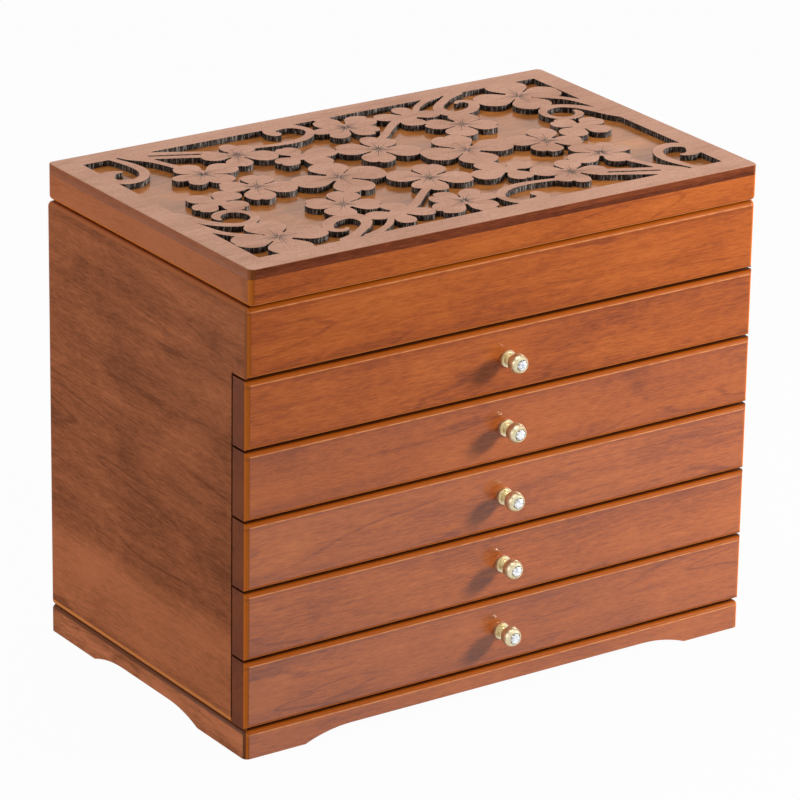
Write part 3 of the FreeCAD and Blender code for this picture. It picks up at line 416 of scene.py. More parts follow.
    def material(self, grain: Grain, board: int, gloss: float | None = None,
                 span: Span | None = None) -> bpy.types.Material:
        """Make the material of one board.

        Args:
            grain: the axis that the grain runs along.
            board: a number that sets the board's own figure.
            gloss: how much varnish its front has, if not the wood's share all round.
            span: bottom and top of a board that grows darker towards them.

        Returns:
            The material.
        """
        graph = Graph(f"{self.name}_{board}")
        colour, height = self.colour(graph, grain, board, span)
        varnish = self.gloss
        if gloss is not None:
            _, ny, _ = graph.axes("Normal")
            varnish = ny.step(-0.1, -0.5) * (self.face_varnish * gloss)
        coat = self.rounding(graph) * (self.edge_varnish - varnish) + varnish
        roughness = height * self.fibre_roughness + (self.roughness - self.fibre_roughness / 2)
        return graph.finish(Base_Color=colour, Roughness=roughness,
                            Specular_IOR_Level=self.specular, Coat_Weight=coat,
                            Coat_Roughness=self.varnish_roughness, Coat_IOR=self.varnish_index,
                            Normal=graph.bump(height, self.fibre_depth))


@dataclass(frozen=True)
class LidSheet:
    """A sheet of the lid, with its front and back edges in one wood and its ends in another."""

    top: StainedWood
    edge: StainedWood
    ends: StainedWood

    def sides(self, graph: Graph, board: int) -> Value:
        """Colour the sheet's four outer edges.

        Args:
            graph: the material under construction.
            board: a number that sets the edges' figure; the ends take the next one.

        Returns:
            The colour.
        """
        long_sides, _ = self.edge.colour(graph, Grain.X, board)
        ends, _ = self.ends.colour(graph, Grain.Y, board + 1)
        nx, _, _ = graph.axes("Normal")
        return graph.blend(abs(nx).step(0.6, 0.8), long_sides, ends)


@dataclass(frozen=True)
class SawnWood(LidSheet):
    """The fretwork: a matte stained top and walls charred by the saw."""

    warmth: Colour = (1.0, 0.90, 0.74)
    char: Colour = (0.022, 0.017, 0.014)
    ash: Colour = (0.36, 0.32, 0.29)
    margin: float = 6 * MM

    def material(self) -> bpy.types.Material:
        """Make the material of the whole sheet; walls are told apart by their normal and place.

        Returns:
            The material.
        """
        graph = Graph("sawn_fretwork")
        low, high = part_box("lid_fretwork")
        x, y, _ = graph.axes()
        _, _, nz = graph.axes("Normal")
        top, height = self.top.colour(graph, Grain.X, 31)
        sand = graph.noise((1100, 1100, 1100), 2, 0.7).step(0.52, 0.34)
        flecks = graph.noise((420, 1500, 420), 2, 0.6).step(0.64, 0.72)
        top = graph.blend(sand * 0.5, top, self.top.dark)
        top = graph.blend(0.4, top, self.warmth, "MULTIPLY")
        top = graph.blend(flecks * 0.5, top, shade(self.top.dark, 0.3))
        streaks = graph.noise((1700, 1700, 170), 3, 0.7)
        burn = graph.ramp(streaks, [(0.44, self.char), (0.50, self.char), (0.64, self.ash)])
        half_x, half_y = (high.x - low.x) / 2 - self.margin, (high.y - low.y) / 2 - self.margin
        outside = abs(x).step(half_x, half_x + MM).math(
            "MAXIMUM", abs(y - (low.y + high.y) / 2).step(half_y, half_y + MM))
        upward = nz.step(0.35, 0.8)
        colour = graph.blend(upward, graph.blend(outside, burn, self.sides(graph, 32)), top)
        return graph.finish(Base_Color=colour, Roughness=upward * (height * 0.1) + 0.5,
                            Specular_IOR_Level=0.08, Normal=graph.bump(height, 0.05 * MM))


@dataclass(frozen=True)
class PanelWood(LidSheet):
    """The panel under the fretwork, which is glossier."""

    def material(self) -> bpy.types.Material:
        """Make the panel's material.

        Returns:
            The material.
        """
        graph = Graph("lid_panel_wood")
        colour, height = self.top.colour(graph, Grain.X, 41)
        _, _, nz = graph.axes("Normal")
        level = abs(nz).step(0.3, 0.7)
        colour = graph.blend(level, self.sides(graph, 42), colour)
        return graph.finish(Base_Color=colour, Roughness=height * 0.15 + 0.35, Specular_IOR_Level=0.1,
                            Coat_Weight=level * self.top.gloss, Coat_Roughness=0.14,
                            Normal=graph.bump(height, 0.04 * MM))


@dataclass(frozen=True)
class Finish:
    """A finish whose colour follows a broad noise, and its roughness and relief a fine one.

    Attributes:
        broad, fine: each noise's scale per metre on the three axes, its detail and its roughness.
        stops: the colours that the noise runs through, or one colour.
        rough: the least roughness, and how much the fine noise adds.
        fine_share: how much of the colour follows the fine noise.
        relief: depth of the fine noise's relief.
        sockets: the shader's other sockets.
    """

    name: str
    broad: Speckle
    fine: Speckle
    stops: tuple[tuple[float, Colour], ...]
    rough: tuple[float, float]
    fine_share: float = 0.0
    relief: float = 0.0
    sockets: tuple[tuple[str, float], ...] = ()

    def material(self) -> bpy.types.Material:
        """Make the finish's material.

        Returns:
            The material.
        """
        graph = Graph(self.name)
        sockets: dict[str, Any] = dict(self.sockets)
        broad, fine = graph.noise(*self.broad), graph.noise(*self.fine)
        tint = broad * (1 - self.fine_share) + fine * self.fine_share
        sockets["Base_Color"] = graph.ramp(tint, self.stops) if len(self.stops) > 1 else self.stops[0][1]
        sockets["Roughness"] = fine * self.rough[1] + self.rough[0]
        if self.relief:
            sockets["Normal"] = graph.bump(fine, self.relief)
        return graph.finish(**sockets)


# Short napped cloth, mottled where it was stroked.
VELVET = Finish("wine_velvet", ((60, 60, 60), 3, 0.6), ((2600, 2600, 2600), 2, 0.6),
                ((0.35, (0.15, 0.035, 0.045)), (0.65, (0.26, 0.075, 0.085))), (0.85, 0.1), 0.3, 0.12 * MM,
                (("Sheen_Weight", 0.35), ("Sheen_Roughness", 0.4)))
# Pale lacquered brass with a fine turned finish.
BRASS = Finish("pale_brass", ((420, 420, 420), 3, 0.6), ((900, 5200, 900), 2, 0.6),
               ((0.38, (0.72, 0.60, 0.36)), (0.55, (0.86, 0.77, 0.53))), (0.21, 0.16), 0.0, 0.012 * MM,
               (("Metallic", 0.8),))
# Cut glass with a silver foil behind it; its colour runs at random between a painted grey shade and painted
# white glints.
CRYSTAL = Finish("foiled_crystal", ((700, 700, 700), 1, 0.5), ((700, 700, 700), 1, 0.5),
                 ((0.40, (0.60, 0.64, 0.70)), (0.55, (0.96, 0.97, 0.98))), (0.0, 0.06),
                 sockets=(("Metallic", 0.9), ("Coat_Weight", 1.0), ("Coat_Roughness", 0.02)))
# Silvered mirror glass with a faint haze.
MIRROR = Finish("mirror_glass", ((18, 18, 18), 3, 0.6), ((18, 18, 18), 3, 0.6), ((0.5, (0.88, 0.90, 0.91)),),
                (0.01, 0.03), sockets=(("Metallic", 1.0),))
# The brown-black bottom of an engraved line.
SCORCH = Finish("engraved_line", ((800, 800, 800), 2, 0.5), ((800, 800, 800), 2, 0.5),
                ((0.40, (0.020, 0.012, 0.010)), (0.62, (0.085, 0.050, 0.036))), (0.6, 0.2))

# Front boards: the pale orange on their top and bottom roundings is a painted highlight and a painted floor
# reflection, and the darkening of their upper and lower faces is painted shade in the gaps between boards.
FRONT_WOOD = StainedWood(
    "front_wood", dark=(0.25, 0.055, 0.018), middle=(0.45, 0.105, 0.021), pale=(0.57, 0.150, 0.030),
    edge=(0.42, 0.088, 0.002), edge_highlight=(0.74, 0.28, 0.09), gap_shade=0.8, corner=(0.76, 0.185, 0.010))
SIDE_WOOD = StainedWood(
    "side_wood", dark=(0.24, 0.068, 0.024), middle=(0.60, 0.188, 0.074), pale=(0.72, 0.245, 0.108),
    edge=(0.44, 0.130, 0.040), roughness=0.42, gloss=0.0, blotch=0.32, figured=0.55, specular=0.02)
# Side panels: their bands are glued planks and painted floor light, and the pale line along their lower
# rounding is a painted highlight of floor light.
GLUED_WOOD = replace(SIDE_WOOD, name="glued_side_wood", planks_and_floor_light=((62 * MM, 0.13), (168 * MM, -0.04)),
                     foot_highlight=(0.92, 0.31, 0.07))
LID_SIDE_WOOD = replace(SIDE_WOOD, name="lid_side_wood", edge=(0.80, 0.215, 0.02))
# Plinth sides: paler than the side panels, partly their own tone and partly painted floor light; their dark
# roundings are painted shade in the gap under the side panels.
PLINTH_WOOD = replace(SIDE_WOOD, name="plinth_side_wood", middle=(0.76, 0.255, 0.110),
                      pale=(0.88, 0.320, 0.150), edge=(0.17, 0.050, 0.016))
LID_EDGE_WOOD = StainedWood(
    "lid_edge_wood", dark=(0.085, 0.015, 0.003), middle=(0.165, 0.034, 0.009), pale=(0.26, 0.062, 0.018),
    edge=(0.30, 0.080, 0.016))
LID_END_WOOD = replace(SIDE_WOOD, name="lid_end_wood", dark=(0.20, 0.054, 0.018),
                       middle=(0.42, 0.125, 0.048), pale=(0.52, 0.165, 0.070))
# Fretwork top: its pale pinkish colours are partly its own tone and partly painted sheen.
FRET_WOOD = StainedWood(
    "fret_wood", dark=(0.35, 0.175, 0.115), middle=(0.53, 0.300, 0.222), pale=(0.66, 0.390, 0.295),
    edge=(0.53, 0.300, 0.222), blotch=0.4, figured=0.6)
PANEL_WOOD = StainedWood(
    "panel_wood", dark=(0.20, 0.062, 0.012), middle=(0.40, 0.130, 0.022), pale=(0.54, 0.190, 0.040),
    edge=(0.42, 0.130, 0.034), gloss=0.64, blotch=0.5)
INNER_WOOD = StainedWood(
    "inner_wood", dark=(0.40, 0.26, 0.14), middle=(0.55, 0.38, 0.22), pale=(0.66, 0.49, 0.31),
    edge=(0.68, 0.51, 0.33), roughness=0.5, gloss=0.0)


# ---- surfaces


def stack(rings: np.ndarray, flip: bool = False) -> Shape:
    """Close a stack of rings: walls between neighbouring rings and a cap at each end.

    Args:
        rings: their points, shape (rings, points, 3).
        flip: whether the faces turn the other way round.

    Returns:
        Points, and blocks of faces of one size.
    """
    rows, count = rings.shape[:2]
    row, column = np.meshgrid(np.arange(rows - 1), np.arange(count), indexing="ij")
    after = (column + 1) % count
    walls = np.stack((row * count + column, row * count + after, (row + 1) * count + after,
                      (row + 1) * count + column), axis=-1).reshape(-1, 4)
    caps = np.stack([np.arange(count)[::-1], np.arange(count) + (rows - 1) * count])
    return rings.reshape(-1, 3), [block[:, ::-1] if flip else block for block in (walls, caps)]


def join(shapes: Iterable[Shape]) -> tuple[np.ndarray, list[list[int]]]:
    """Join closed shapes for one mesh.

    Args:
        shapes: points and blocks of faces of each.

    Returns:
        All points and faces.
    """
    points, faces, start = [], [], 0
    for own_points, blocks in shapes:
        for block in blocks:
            faces.extend((block + start).tolist())
        points.append(own_points)
        start += len(own_points)
    return np.concatenate(points), faces


def make_piece(name: str, points: np.ndarray, faces: Sequence[Sequence[int]],
               material: bpy.types.Material, body: str, smooth: bool = True) -> bpy.types.Object:
    """Make one mesh piece that rides on a body.

    Args:
        name: the piece's name.
        points: its points in metres, one a row.
        faces: its faces as rows of point numbers.
        material: its finish.
        body: the CAD body that it moves with.
        smooth: whether it is shaded as one curved surface.

    Returns:
        The piece.
    """
    mesh = bpy.data.meshes.new(name)
    mesh.from_pydata(points.tolist(), [], faces)
    mesh.polygons.foreach_set("use_smooth", np.full(len(mesh.polygons), smooth))
    mesh.materials.append(material)
    mesh.validate()
    piece = bpy.data.objects.new(name, mesh)
    bpy.context.scene.collection.objects.link(piece)
    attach(piece, body)
    LOG.info("%s: %d faces on %s", name, len(mesh.polygons), body)
    return piece


def dress(material: bpy.types.Material, *nodes: str) -> None:
    """Give CAD nodes a finish.

    Args:
        material: the finish.
        nodes: the nodes' names.
    """
    for name in nodes:
        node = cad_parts[name]
        if not node.material_slots:
            node.data.materials.append(material)
        node.material_slots[0].material = material
        LOG.info("%s: %s", name, material.name)


def height_span(node: str) -> tuple[float, float]:
    """Return a CAD node's lowest and highest z."""
    low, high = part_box(node)
    return low.z, high.z


@dataclass(frozen=True)
class Ring:
    """A rounded rectangle as a ring of points, the same number for any size and radius."""

    arc_points: int = 5
    side_points: int = 5

    def points(self, half: np.ndarray, radius: np.ndarray, centre: np.ndarray,
               level: np.ndarray) -> np.ndarray:
        """Work out rings of points.

        Each corner is a quarter circle of the radius about a centre set in from the corner; points
        on the sides divide the line from one quarter circle's end to the next one's start.

        Args:
            half: half width and half depth of each ring, shape (rings, 2).
            radius: corner radius of each ring, shape (rings,).
            centre: x and y of their middle.
            level: height of each ring, shape (rings,).

        Returns:
            The points, shape (rings, points, 3).
        """
        corner = np.array([(1, 1), (-1, 1), (-1, -1), (1, -1)], float)
        angle = (np.arange(4)[:, None] + np.linspace(0, 1, self.arc_points)) * math.pi / 2
        direction = np.stack([np.cos(angle), np.sin(angle)], axis=-1)
        hubs = corner[None] * (half - radius[:, None])[:, None, :]
        arcs = hubs[:, :, None, :] + radius[:, None, None, None] * direction[None]
        share = (np.arange(self.side_points) + 1.0) / (self.side_points + 1)
        ends, starts = arcs[:, :, -1], np.roll(arcs[:, :, 0], -1, axis=1)
        sides = ends[:, :, None] + (starts - ends)[:, :, None] * share[None, None, :, None]
        plan = np.concatenate([arcs, sides], axis=2).reshape(len(half), -1, 2) + centre
        return np.concatenate([plan, np.broadcast_to(level[:, None, None], (*plan.shape[:2], 1))], axis=-1)


@dataclass
class PaddedLining:
    """A lining of open compartments whose padded walls are rounded over at the top.

    Attributes:
        spaces: x span, y span and number of compartments each way of every space.
        crown: height of the rounding on its walls.
        bulge: how far walls and floor swell.
        corner_growth: how much the plan's corner radius grows for each unit inwards.
    """

    node: str
    body: str
    spaces: Sequence[tuple[Span, Span, tuple[int, int]]]
    floor: float = 1.6 * MM
    crown: float = 3.0 * MM
    foot_radius: float = 2.5 * MM
    bulge: float = 0.35 * MM
    corner_radius: float = 3.2 * MM
    corner_growth: float = 1.3
    corner_least: float = 0.05 * MM

    def cells(self) -> list[tuple[np.ndarray, np.ndarray]]:
        """Divide the spaces into compartments.

        Returns:
            Each compartment's centre and half size, in plan.
        """
        cells = []
        for (left, right), (near, far), (across, along) in self.spaces:
            width = (right - left - LINING_DIVIDER * (across - 1)) / across
            depth = (far - near - LINING_DIVIDER * (along - 1)) / along
            for column in range(across):
                for row in range(along):
                    centre = np.array([left + width / 2 + (width + LINING_DIVIDER) * column,
                                       near + depth / 2 + (depth + LINING_DIVIDER) * row])
                    cells.append((centre, np.array([width / 2, depth / 2])))
        return cells

    def tub(self, centre: np.ndarray, half: np.ndarray, low: float, high: float) -> Shape:
        """Shape one compartment as a closed tub.

        A profile runs up the outside, over a quarter ellipse at the top, down the inside, round
        the foot and over the floor. It is carried round a rounded rectangle; the inside walls
        bulge towards the middle by a sine of the height.

        Args:
            centre, half: its middle and half size, in plan.
            low, high: heights of its underside and its rim.

        Returns:
            The shape.
        """
        wall = LINING_DIVIDER / 2
        turn = np.linspace(0, math.pi / 2, 7)
        over = np.stack([wall * (1 - np.sin(turn)), high - self.crown * (1 - np.cos(turn))], axis=1)
        depth = np.linspace(0.12, 0.9, 6)
        inside_top, inside_foot = high - self.crown, low + self.floor + self.foot_radius
        down = np.stack([-self.bulge * np.sin(math.pi * depth),
                         inside_top + (inside_foot - inside_top) * depth], axis=1)
        foot = np.stack([-self.foot_radius * (1 - np.cos(turn)),
                         inside_foot - self.foot_radius * np.sin(turn)], axis=1)
        reach = -np.linspace(0.25, 0.96, 5) * float(half.min())
        puff = low + self.floor + self.bulge * np.sin(math.pi / 2 * np.linspace(0.3, 1, 5))
        ground = np.stack([reach, puff], axis=1)
        profile = np.concatenate([[[wall, low], [wall, high - self.crown]], over, down, foot, ground])
        sizes = half[None] + profile[:, :1]
        radius = np.clip(self.corner_radius - profile[:, 0] * self.corner_growth, self.corner_least,
                         sizes.min(axis=1) * 0.98)
        return stack(Ring().points(sizes, radius, centre, profile[:, 1]))

    def build(self, material: bpy.types.Material) -> None:
        """Make the lining as one padded piece that stands for the CAD solid.

        Args:
            material: the cloth.
        """
        low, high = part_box(self.node)
        points, faces = join(self.tub(centre, half, low.z, high.z) for centre, half in self.cells())
        piece = make_piece(f"{self.node}_padded", points, faces, material, self.body)
        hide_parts(self.node)


@dataclass
class RingRolls:
    """Rounded pads side by side on a card, with a slot between each two for the rings."""

    count: int = 8
    radius: float = 8.6 * MM
    card: float = 1.4 * MM
    card_edge: float = 0.3 * MM
    card_corner: float = 2.0 * MM
    end_power: float = 9.0
    end_size: float = 0.04
    seat: float = 0.02 * MM
    pucker: float = 0.012
    pucker_turns: float = 37.0
    rows: int = 61
    arc_points: int = 24

    def roll(self, low: Vector, high: Vector, middle: float) -> Shape:
        """Shape one pad.

        Its section is a half circle on a flat base. Along its length the section keeps its size
        and closes at both ends by a superellipse; shallow sines along it pucker the cloth.

        Args:
            low, high: the corners of the whole set's box.
            middle: the pad's own y.

        Returns:
            The shape.
        """
        share = np.linspace(-1, 1, self.rows)
        size = (1 - np.abs(share) ** self.end_power) ** (1 / self.end_power)
        size = np.maximum(size, self.end_size)
        angle = np.linspace(0, math.pi, self.arc_points)
        pucker = 1 - self.pucker * (1 + np.sin(share * self.pucker_turns + 1.3 * middle / MM))
        section = np.stack([np.cos(angle), np.sin(angle)], axis=-1) * self.radius
        base = np.stack([np.linspace(-1, 1, 6)[1:-1] * self.radius, np.full(4, -self.seat)], axis=-1)
        section = np.concatenate([section, base])
        rings = section[None] * (size * pucker)[:, None, None]
        x = (low.x + high.x) / 2 + share * (high.x - low.x) / 2
        points = np.empty((self.rows, len(section), 3))
        points[..., 0] = x[:, None]
        points[..., 1] = middle + rings[..., 0]
        points[..., 2] = low.z + self.card + np.maximum(rings[..., 1], -self.seat)
        return stack(points, flip=True)

    def card_sheet(self, low: Vector, high: Vector) -> Shape:
        """Shape the covered card under the rolls as a slab with rounded corners.

        Args:
            low, high: the corners of the whole set's box.

        Returns:
            The shape.
        """
        half = np.array([(high.x - low.x) / 2, (high.y - low.y) / 2])
        inset = np.array([self.card_edge, 0, 0, self.card_edge])
        level = np.array([0, self.card_edge, self.card - self.card_edge, self.card]) + low.z
        centre = np.array([(low.x + high.x) / 2, (low.y + high.y) / 2])
        return stack(Ring().points(half[None] - inset[:, None], np.full(4, self.card_corner), centre, level))

    def build(self, material: bpy.types.Material) -> None:
        """Make the rolls and card as one padded piece that stands for the CAD solid.

        Args:
            material: the cloth.
        """
        low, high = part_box("ring_rolls")
        pitch = (high.y - low.y) / self.count
        places = (low.y + high.y) / 2 + pitch * (np.arange(self.count) - (self.count - 1) / 2)
        rolls = [self.roll(low, high, float(place)) for place in places]
        points, faces = join([self.card_sheet(low, high), *rolls])
        piece = make_piece("ring_rolls_padded", points, faces, material, "cabinet")
        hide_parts("ring_rolls")


@dataclass(frozen=True)
class CutStone:
    """A round brilliant: table, two rows of crown facets, girdle and a flat back in its seat.

    Radii and depths are its rings' shares of the stone's, from the back to the table.
    """

    number: int
    sides: int = 8
    radii: tuple[float, ...] = (0.98, 1.0, 1.0, 0.82, 0.55)
    depths: tuple[float, ...] = (0.0, 0.05, 0.42, 0.78, 1.0)

    def build(self, material: bpy.types.Material) -> None:
        """Make the stone in place of the CAD solid.

        Rings of points about the stone's axis: the back, the girdle's two edges, the crown's
        middle, turned half a step, and the table.

        Args:
            material: the cut glass.
        """
        node = f"drawer_{self.number}_crystal"
        low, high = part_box(node)
        half_step = math.pi / self.sides
        index = np.arange(self.sides)
        shares = np.array(self.radii) * ((high.x - low.x) / 2 / math.cos(half_step))
        levels = high.y - np.array(self.depths) * (high.y - low.y)
        angle = index[None] * 2 * half_step + np.array([0, 0, 0, 1, 0])[:, None] * half_step
        points = np.stack([(low.x + high.x) / 2 + shares[:, None] * np.cos(angle),
                           np.repeat(levels[:, None], self.sides, axis=1),
                           (low.z + high.z) / 2 + shares[:, None] * np.sin(angle)], axis=-1).reshape(-1, 3)
        back, rear, girdle, crown, table = (row * self.sides + index for row in range(len(self.radii)))
        blocks = ((back, np.roll(back, -1), np.roll(rear, -1), rear),
                  (rear, np.roll(rear, -1), np.roll(girdle, -1), girdle),
                  (girdle, np.roll(girdle, -1), crown), (crown, np.roll(girdle, -1), np.roll(crown, -1)),
                  (crown, np.roll(table, -1), table), (crown, np.roll(crown, -1), np.roll(table, -1)))
        faces = [row for block in blocks for row in np.stack(block, axis=1).tolist()]
        faces += [back.tolist()[::-1], table.tolist()]
        piece = make_piece(f"drawer_{self.number}_stone", points, faces, material,
                           f"drawer_{self.number}", smooth=False)
        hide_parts(node)


@dataclass(frozen=True)
class Flower:
    """An engraved flower of the fretwork: its middle, and each petal's direction and length, in mm."""

    x: float
    y: float
    petals: tuple[tuple[float, float], ...]


FLOWERS = (
    Flower(-63.8, 53.5, ((78, 17.4), (38, 16.4), (-33, 20.7), (-116, 17.7), (159, 18.4))),
    Flower(-93.5, 37.5, ((10, 19.8), (110, 16.4), (182, 17.9), (226, 17.2), (-72, 17.8))),
    Flower(-81.8, 8.0, ((55, 17.0), (152, 18.0), (-114, 20.2), (-33, 20.4))),
    Flower(1.5, 24.5, ((73, 20.3), (36, 18.2), (149, 21.6), (-123.5, 20.3), (-38, 21.3))),
    Flower(7.5, 62.5, ((117, 17.6), (22, 20.3), (-57, 17.2), (-138, 18.6), (179, 19.8))),
    Flower(113.0, 60.0, ((80, 24.0), (-7, 23.4), (-97, 23.0), (177, 25.2))),
    Flower(60.5, 36.5, ((50, 17.1), (151, 18.8), (-124, 19.4), (-35, 18.4))),
    Flower(-39.2, -1.0, ((79, 21.8), (-6, 24.8), (-94.5, 24.0), (176, 25.0))),
)


@dataclass
class Engraving:
    """Thin scorched lines that run out from each flower's eye.

    Attributes:
        width, widths: a line's full width, and its half widths as shares of it from root to point.
        start, widest: where it starts, and where it is widest as a share of its length.
        rim, drawn: the sheet's width round its window, and the window that the flowers were laid out in.
        fan: the lines of one petal, as turns from its direction and shares of its length.
    """

    lift: float = 0.03 * MM
    width: float = 0.42 * MM
    widths: tuple[float, float, float] = (0.3, 0.5, 0.08)
    start: float = 0.6 * MM
    widest: float = 0.33
    rim: float = 13 * MM
    drawn: tuple[float, float] = (274 * MM, 160 * MM)
    fan: tuple[tuple[float, float], ...] = ((0, 0.60), (17, 0.36), (-15, 0.33), (36, 0.24))

    def build(self, material: bpy.types.Material) -> None:
        """Make every line as one piece.

        The flowers' middles spread with the sheet's window, and each is repeated half a turn
        away. A line is a strip that is widest a third of the way along and comes to a point; its
        corners stand off its middle by the half width, square to its direction.

        Args:
            material: the scorched wood.
        """
        low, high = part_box("lid_fretwork")
        middle = (low.y + high.y) / 2
        lines = [(sign * flower.x, sign * flower.y, direction + turn + half_turn, length * share)
                 for flower in FLOWERS for sign, half_turn in ((1, 0), (-1, 180))
                 for direction, length in flower.petals for turn, share in self.fan]
        x, y, direction, length = (np.array(column, float) for column in zip(*lines))
        angle = np.radians(direction)
        ahead = np.stack([np.cos(angle), np.sin(angle)], axis=-1)
        aside = np.stack([-ahead[:, 1], ahead[:, 0]], axis=-1)
        along = np.stack([np.full(len(x), self.start), length * MM * self.widest, length * MM], axis=-1)
        half = np.array(self.widths) * self.width
        spread = (np.array([high.x - low.x, high.y - low.y]) - 2 * self.rim) / np.array(self.drawn)
        spine = (np.stack([x, y], axis=-1) * MM * spread)[:, None] + along[..., None] * ahead[:, None]
        sides = half[None, :, None] * aside[:, None]
        strip = np.stack([spine + sides, spine - sides], axis=2).reshape(len(x), 6, 2)
        strip[..., 1] += middle
        height = np.full((*strip.shape[:2], 1), high.z + self.lift)
        points = np.concatenate([strip, height], axis=-1).reshape(-1, 3)
        block = np.array([[0, 1, 3, 2], [2, 3, 5, 4]])
        faces = (np.arange(len(x))[:, None, None] * 6 + block[None]).reshape(-1, 4).tolist()
        piece = make_piece("fretwork_engraving", points, faces, material, "lid", smooth=False)


# ---- sub-assemblies


@dataclass
class Case:
    """Side panels, back, front rail, tray floor, runners and the plinth below them."""

    def dress(self) -> None:
        """Give every board its wood, each with its own figure."""
        boards = ((GLUED_WOOD, "left_side_panel", Grain.Y), (GLUED_WOOD, "right_side_panel", Grain.Y),
                  (GLUED_WOOD, "back_panel", Grain.X), (PLINTH_WOOD, "plinth_left", Grain.Y),
                  (PLINTH_WOOD, "plinth_right", Grain.Y), (PLINTH_WOOD, "plinth_back", Grain.X))
        for number, (wood, node, grain) in enumerate(boards, start=1):
            dress(wood.material(grain, number, span=height_span(node)), node)
        dress(FRONT_WOOD.material(Grain.X, 7, 0.1, height_span("top_front_rail")), "top_front_rail")
        dress(FRONT_WOOD.material(Grain.X, 8, gloss=1.0), "plinth_front")
        for number, node in enumerate(("tray_floor", "base_board", "drawer_runners"), start=20):
            dress(INNER_WOOD.material(Grain.X, number), node)


@dataclass
class Lid:
    """The lid's frame, panel, fretwork with its engraved lines, and mirror."""

    def dress(self) -> None:
        """Give the lid's parts their finishes."""
        dress(FRONT_WOOD.material(Grain.X, 9, gloss=0.05), "lid_front_rail")
        dress(SIDE_WOOD.material(Grain.X, 10), "lid_back_rail")
        dress(LID_SIDE_WOOD.material(Grain.Y, 11), "lid_left_rail")
        dress(LID_SIDE_WOOD.material(Grain.Y, 12), "lid_right_rail")
        dress(PanelWood(PANEL_WOOD, LID_EDGE_WOOD, LID_END_WOOD).material(), "lid_panel")
        dress(SawnWood(FRET_WOOD, LID_EDGE_WOOD, LID_END_WOOD).material(), "lid_fretwork")
        dress(MIRROR.material(), "mirror")
        Engraving().build(SCORCH.material())


@dataclass
class Tray:
    """The lining and ring rolls under the lid; the space for the rolls is on the left."""

    ring_width: float = 124.0 * MM

    def build(self, cloth: bpy.types.Material) -> None:
        """Make the tray's padded pieces.

        Args:
            cloth: their finish.
        """
        low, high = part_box("tray_lining")
        depth = (low.y + LINING_WALL, high.y - LINING_WALL)
        rings = (low.x + LINING_WALL, low.x + LINING_WALL + self.ring_width)
        free = (rings[1] + LINING_DIVIDER, high.x - LINING_WALL)
        PaddedLining("tray_lining", "cabinet", ((rings, depth, (1, 1)), (free, depth, (1, 2)))).build(cloth)
        RingRolls().build(cloth)


@dataclass
class Drawer:
    """One drawer: wooden box, lining, knob and stone."""

    number: int
    grid: tuple[int, int]
    gloss: float

    def build(self, cloth: bpy.types.Material, metal: bpy.types.Material, stone: bpy.types.Material) -> None:
        """Dress the drawer's boards and make its lining and stone.

        Args:
            cloth: the lining's finish.
            metal: the knob's finish.
            stone: the finish of the stone in the knob.
        """
        name = f"drawer_{self.number}"
        front = FRONT_WOOD.material(Grain.X, 50 + self.number, self.gloss, height_span(f"{name}_front"))
        dress(front, f"{name}_front")
        dress(INNER_WOOD.material(Grain.Y, 60 + self.number), f"{name}_sides")
        dress(INNER_WOOD.material(Grain.X, 70 + self.number), f"{name}_back", f"{name}_bottom")
        dress(metal, f"{name}_knob")
        low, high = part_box(f"{name}_lining")
        width, depth = ((start + LINING_WALL, end - LINING_WALL) for start, end in zip(low.xy, high.xy))
        PaddedLining(f"{name}_lining", name, ((width, depth, self.grid),)).build(cloth)
        CutStone(self.number).build(stone)


@dataclass
class Hinges:
    """Both butt hinges at the back."""

    def dress(self, metal: bpy.types.Material) -> None:
        """Give the hinges their brass."""
        dress(metal, "hinge_case_leaves", "hinge_lid_leaves", "hinge_pins", "hinge_case_screws",
              "hinge_lid_screws")


@dataclass(frozen=True)
class Lamp:
    """A square soft light that points at the middle of the box."""

    name: str
    place: tuple[float, float, float]
    size: float
    power: float
    target: tuple[float, float, float] = (0.0, 0.0, 0.12)

    def build(self) -> None:
        """Hang the lamp and turn it to the box."""
        light = bpy.data.lights.new(self.name, "AREA")
        light.size = self.size
        light.energy = self.power
        lamp = bpy.data.objects.new(self.name, light)
        bpy.context.scene.collection.objects.link(lamp)
        lamp.location = self.place
        aim = Vector(self.target) - Vector(self.place)
        lamp.rotation_euler = aim.to_track_quat("-Z", "Y").to_euler()


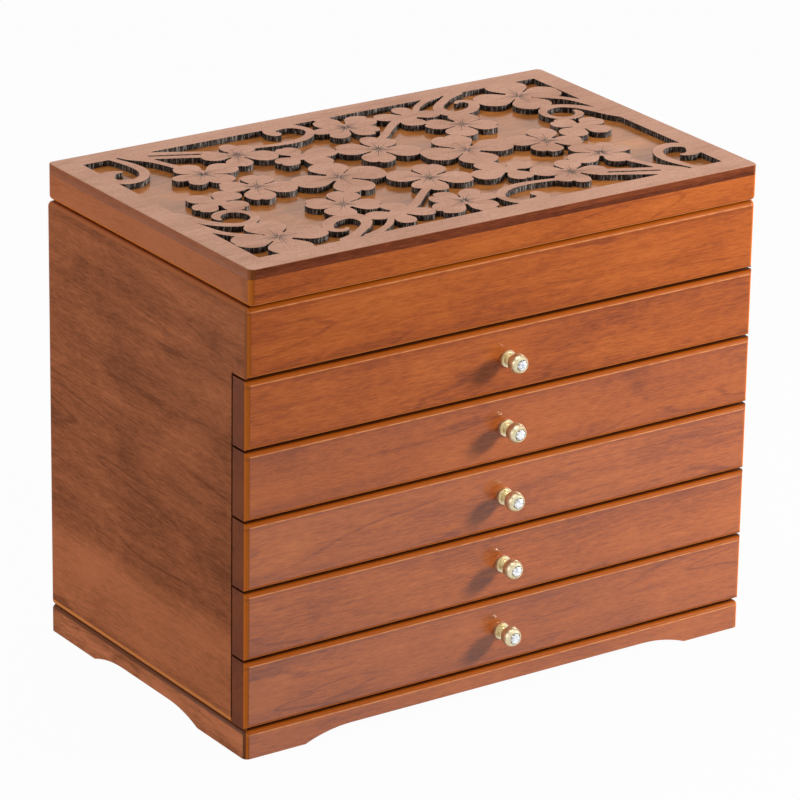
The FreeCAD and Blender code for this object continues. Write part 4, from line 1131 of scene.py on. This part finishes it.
@dataclass
class Studio:
    """Floor, soft lights, white surroundings and a camera aside, above and back from the case."""

    azimuth: float = math.radians(-34.450)
    elevation: float = math.radians(21.160)
    roll: float = math.radians(0.917)
    aside: float = 0.002338
    above: float = 0.117484
    distance: float = 2.510535
    lens: float = 219.04
    sensor: float = 36.0
    reach: float = 50.0
    sky: float = 0.16
    floor_half: float = 12.0
    floor_white: float = 0.97
    lamps: tuple[Lamp, ...] = (
        Lamp("key_lamp", (0.86, -0.655, 0.51), 0.22, 13.4),
        Lamp("top_lamp", (-0.1, 0.4, 2.2), 1.6, 26.0),
        Lamp("side_lamp", (-1.6, 0.05, 0.7), 1.0, 4.4),
        Lamp("low_lamp", (-0.45, 0.28, 0.08), 0.12, 0.17),
    )

    def build(self) -> None:
        """Make the whole studio."""
        self._floor()
        self._world()
        for lamp in self.lamps:
            lamp.build()
        self._camera()

    def _floor(self) -> None:
        """Lay a wide pale floor that takes the box's shadow faintly."""
        graph = Graph("pale_floor")
        mottle = graph.noise((2, 2, 2))
        pale = graph.ramp(mottle, [(0.3, (0.44, 0.44, 0.44)), (0.7, (0.46, 0.46, 0.46))])
        lit = graph.principled(Base_Color=pale, Roughness=mottle * 0.1 + 0.85)
        white = graph.node("ShaderNodeEmission", None, {"Color": (1, 1, 1), "Strength": 1.0})
        share = graph.background_rays() * self.floor_white
        mixed = graph.node("ShaderNodeMixShader", None, {0: share, 1: lit, 2: white})
        half = self.floor_half
        mesh = bpy.data.meshes.new("floor")
        corners = [(-half, -half, 0), (half, -half, 0), (half, half, 0), (-half, half, 0)]
        mesh.from_pydata(corners, [], [(0, 1, 2, 3)])
        mesh.materials.append(graph.close(mixed))
        floor = bpy.data.objects.new("floor", mesh)
        bpy.context.scene.collection.objects.link(floor)

    def _world(self) -> None:
        """Make the surroundings white where they are seen or mirrored, and softer as light."""
        graph = Graph("studio", world=True)
        strength = graph.background_rays() * (1.0 - self.sky) + self.sky
        bpy.context.scene.world = graph.close(graph.node(
            "ShaderNodeBackground", None, {"Color": (1, 1, 1), "Strength": strength}))

    def _camera(self) -> None:
        """Stand the camera off the middle of the case along its line of sight."""
        flat = math.cos(self.elevation)
        back = Vector((math.sin(self.azimuth) * flat, -math.cos(self.azimuth) * flat,
                       math.sin(self.elevation)))
        right = Vector((0, 0, 1)).cross(back).normalized()
        up = back.cross(right)
        turn, lean = math.cos(self.roll), math.sin(self.roll)
        right, up = right * turn + up * lean, up * turn - right * lean
        middle = Vector((0, (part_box("top_front_rail")[0].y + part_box("back_panel")[1].y) / 2, 0))
        place = middle + right * self.aside + up * self.above + back * self.distance
        data = bpy.data.cameras.new("camera")
        data.sensor_width = self.sensor
        data.lens = self.lens
        data.clip_end = self.reach
        camera = bpy.data.objects.new("camera", data)
        bpy.context.scene.collection.objects.link(camera)
        turned = Matrix((right, up, back)).transposed().to_4x4()
        camera.matrix_world = Matrix.Translation(place) @ turned
        bpy.context.scene.camera = camera


def main() -> None:
    """Build the studio and every sub-assembly."""
    logging.basicConfig(level=logging.INFO, format="%(message)s")
    bpy.context.scene.view_settings.view_transform = "Standard"
    Studio().build()
    cloth, metal, stone = VELVET.material(), BRASS.material(), CRYSTAL.material()
    Case().dress()
    Lid().dress()
    Tray().build(cloth)
    Hinges().dress(metal)
    for number, (grid, gloss) in enumerate(DRAWERS, start=1):
        Drawer(number, grid, gloss).build(cloth, metal, stone)


if __name__ == "__main__":
    main()
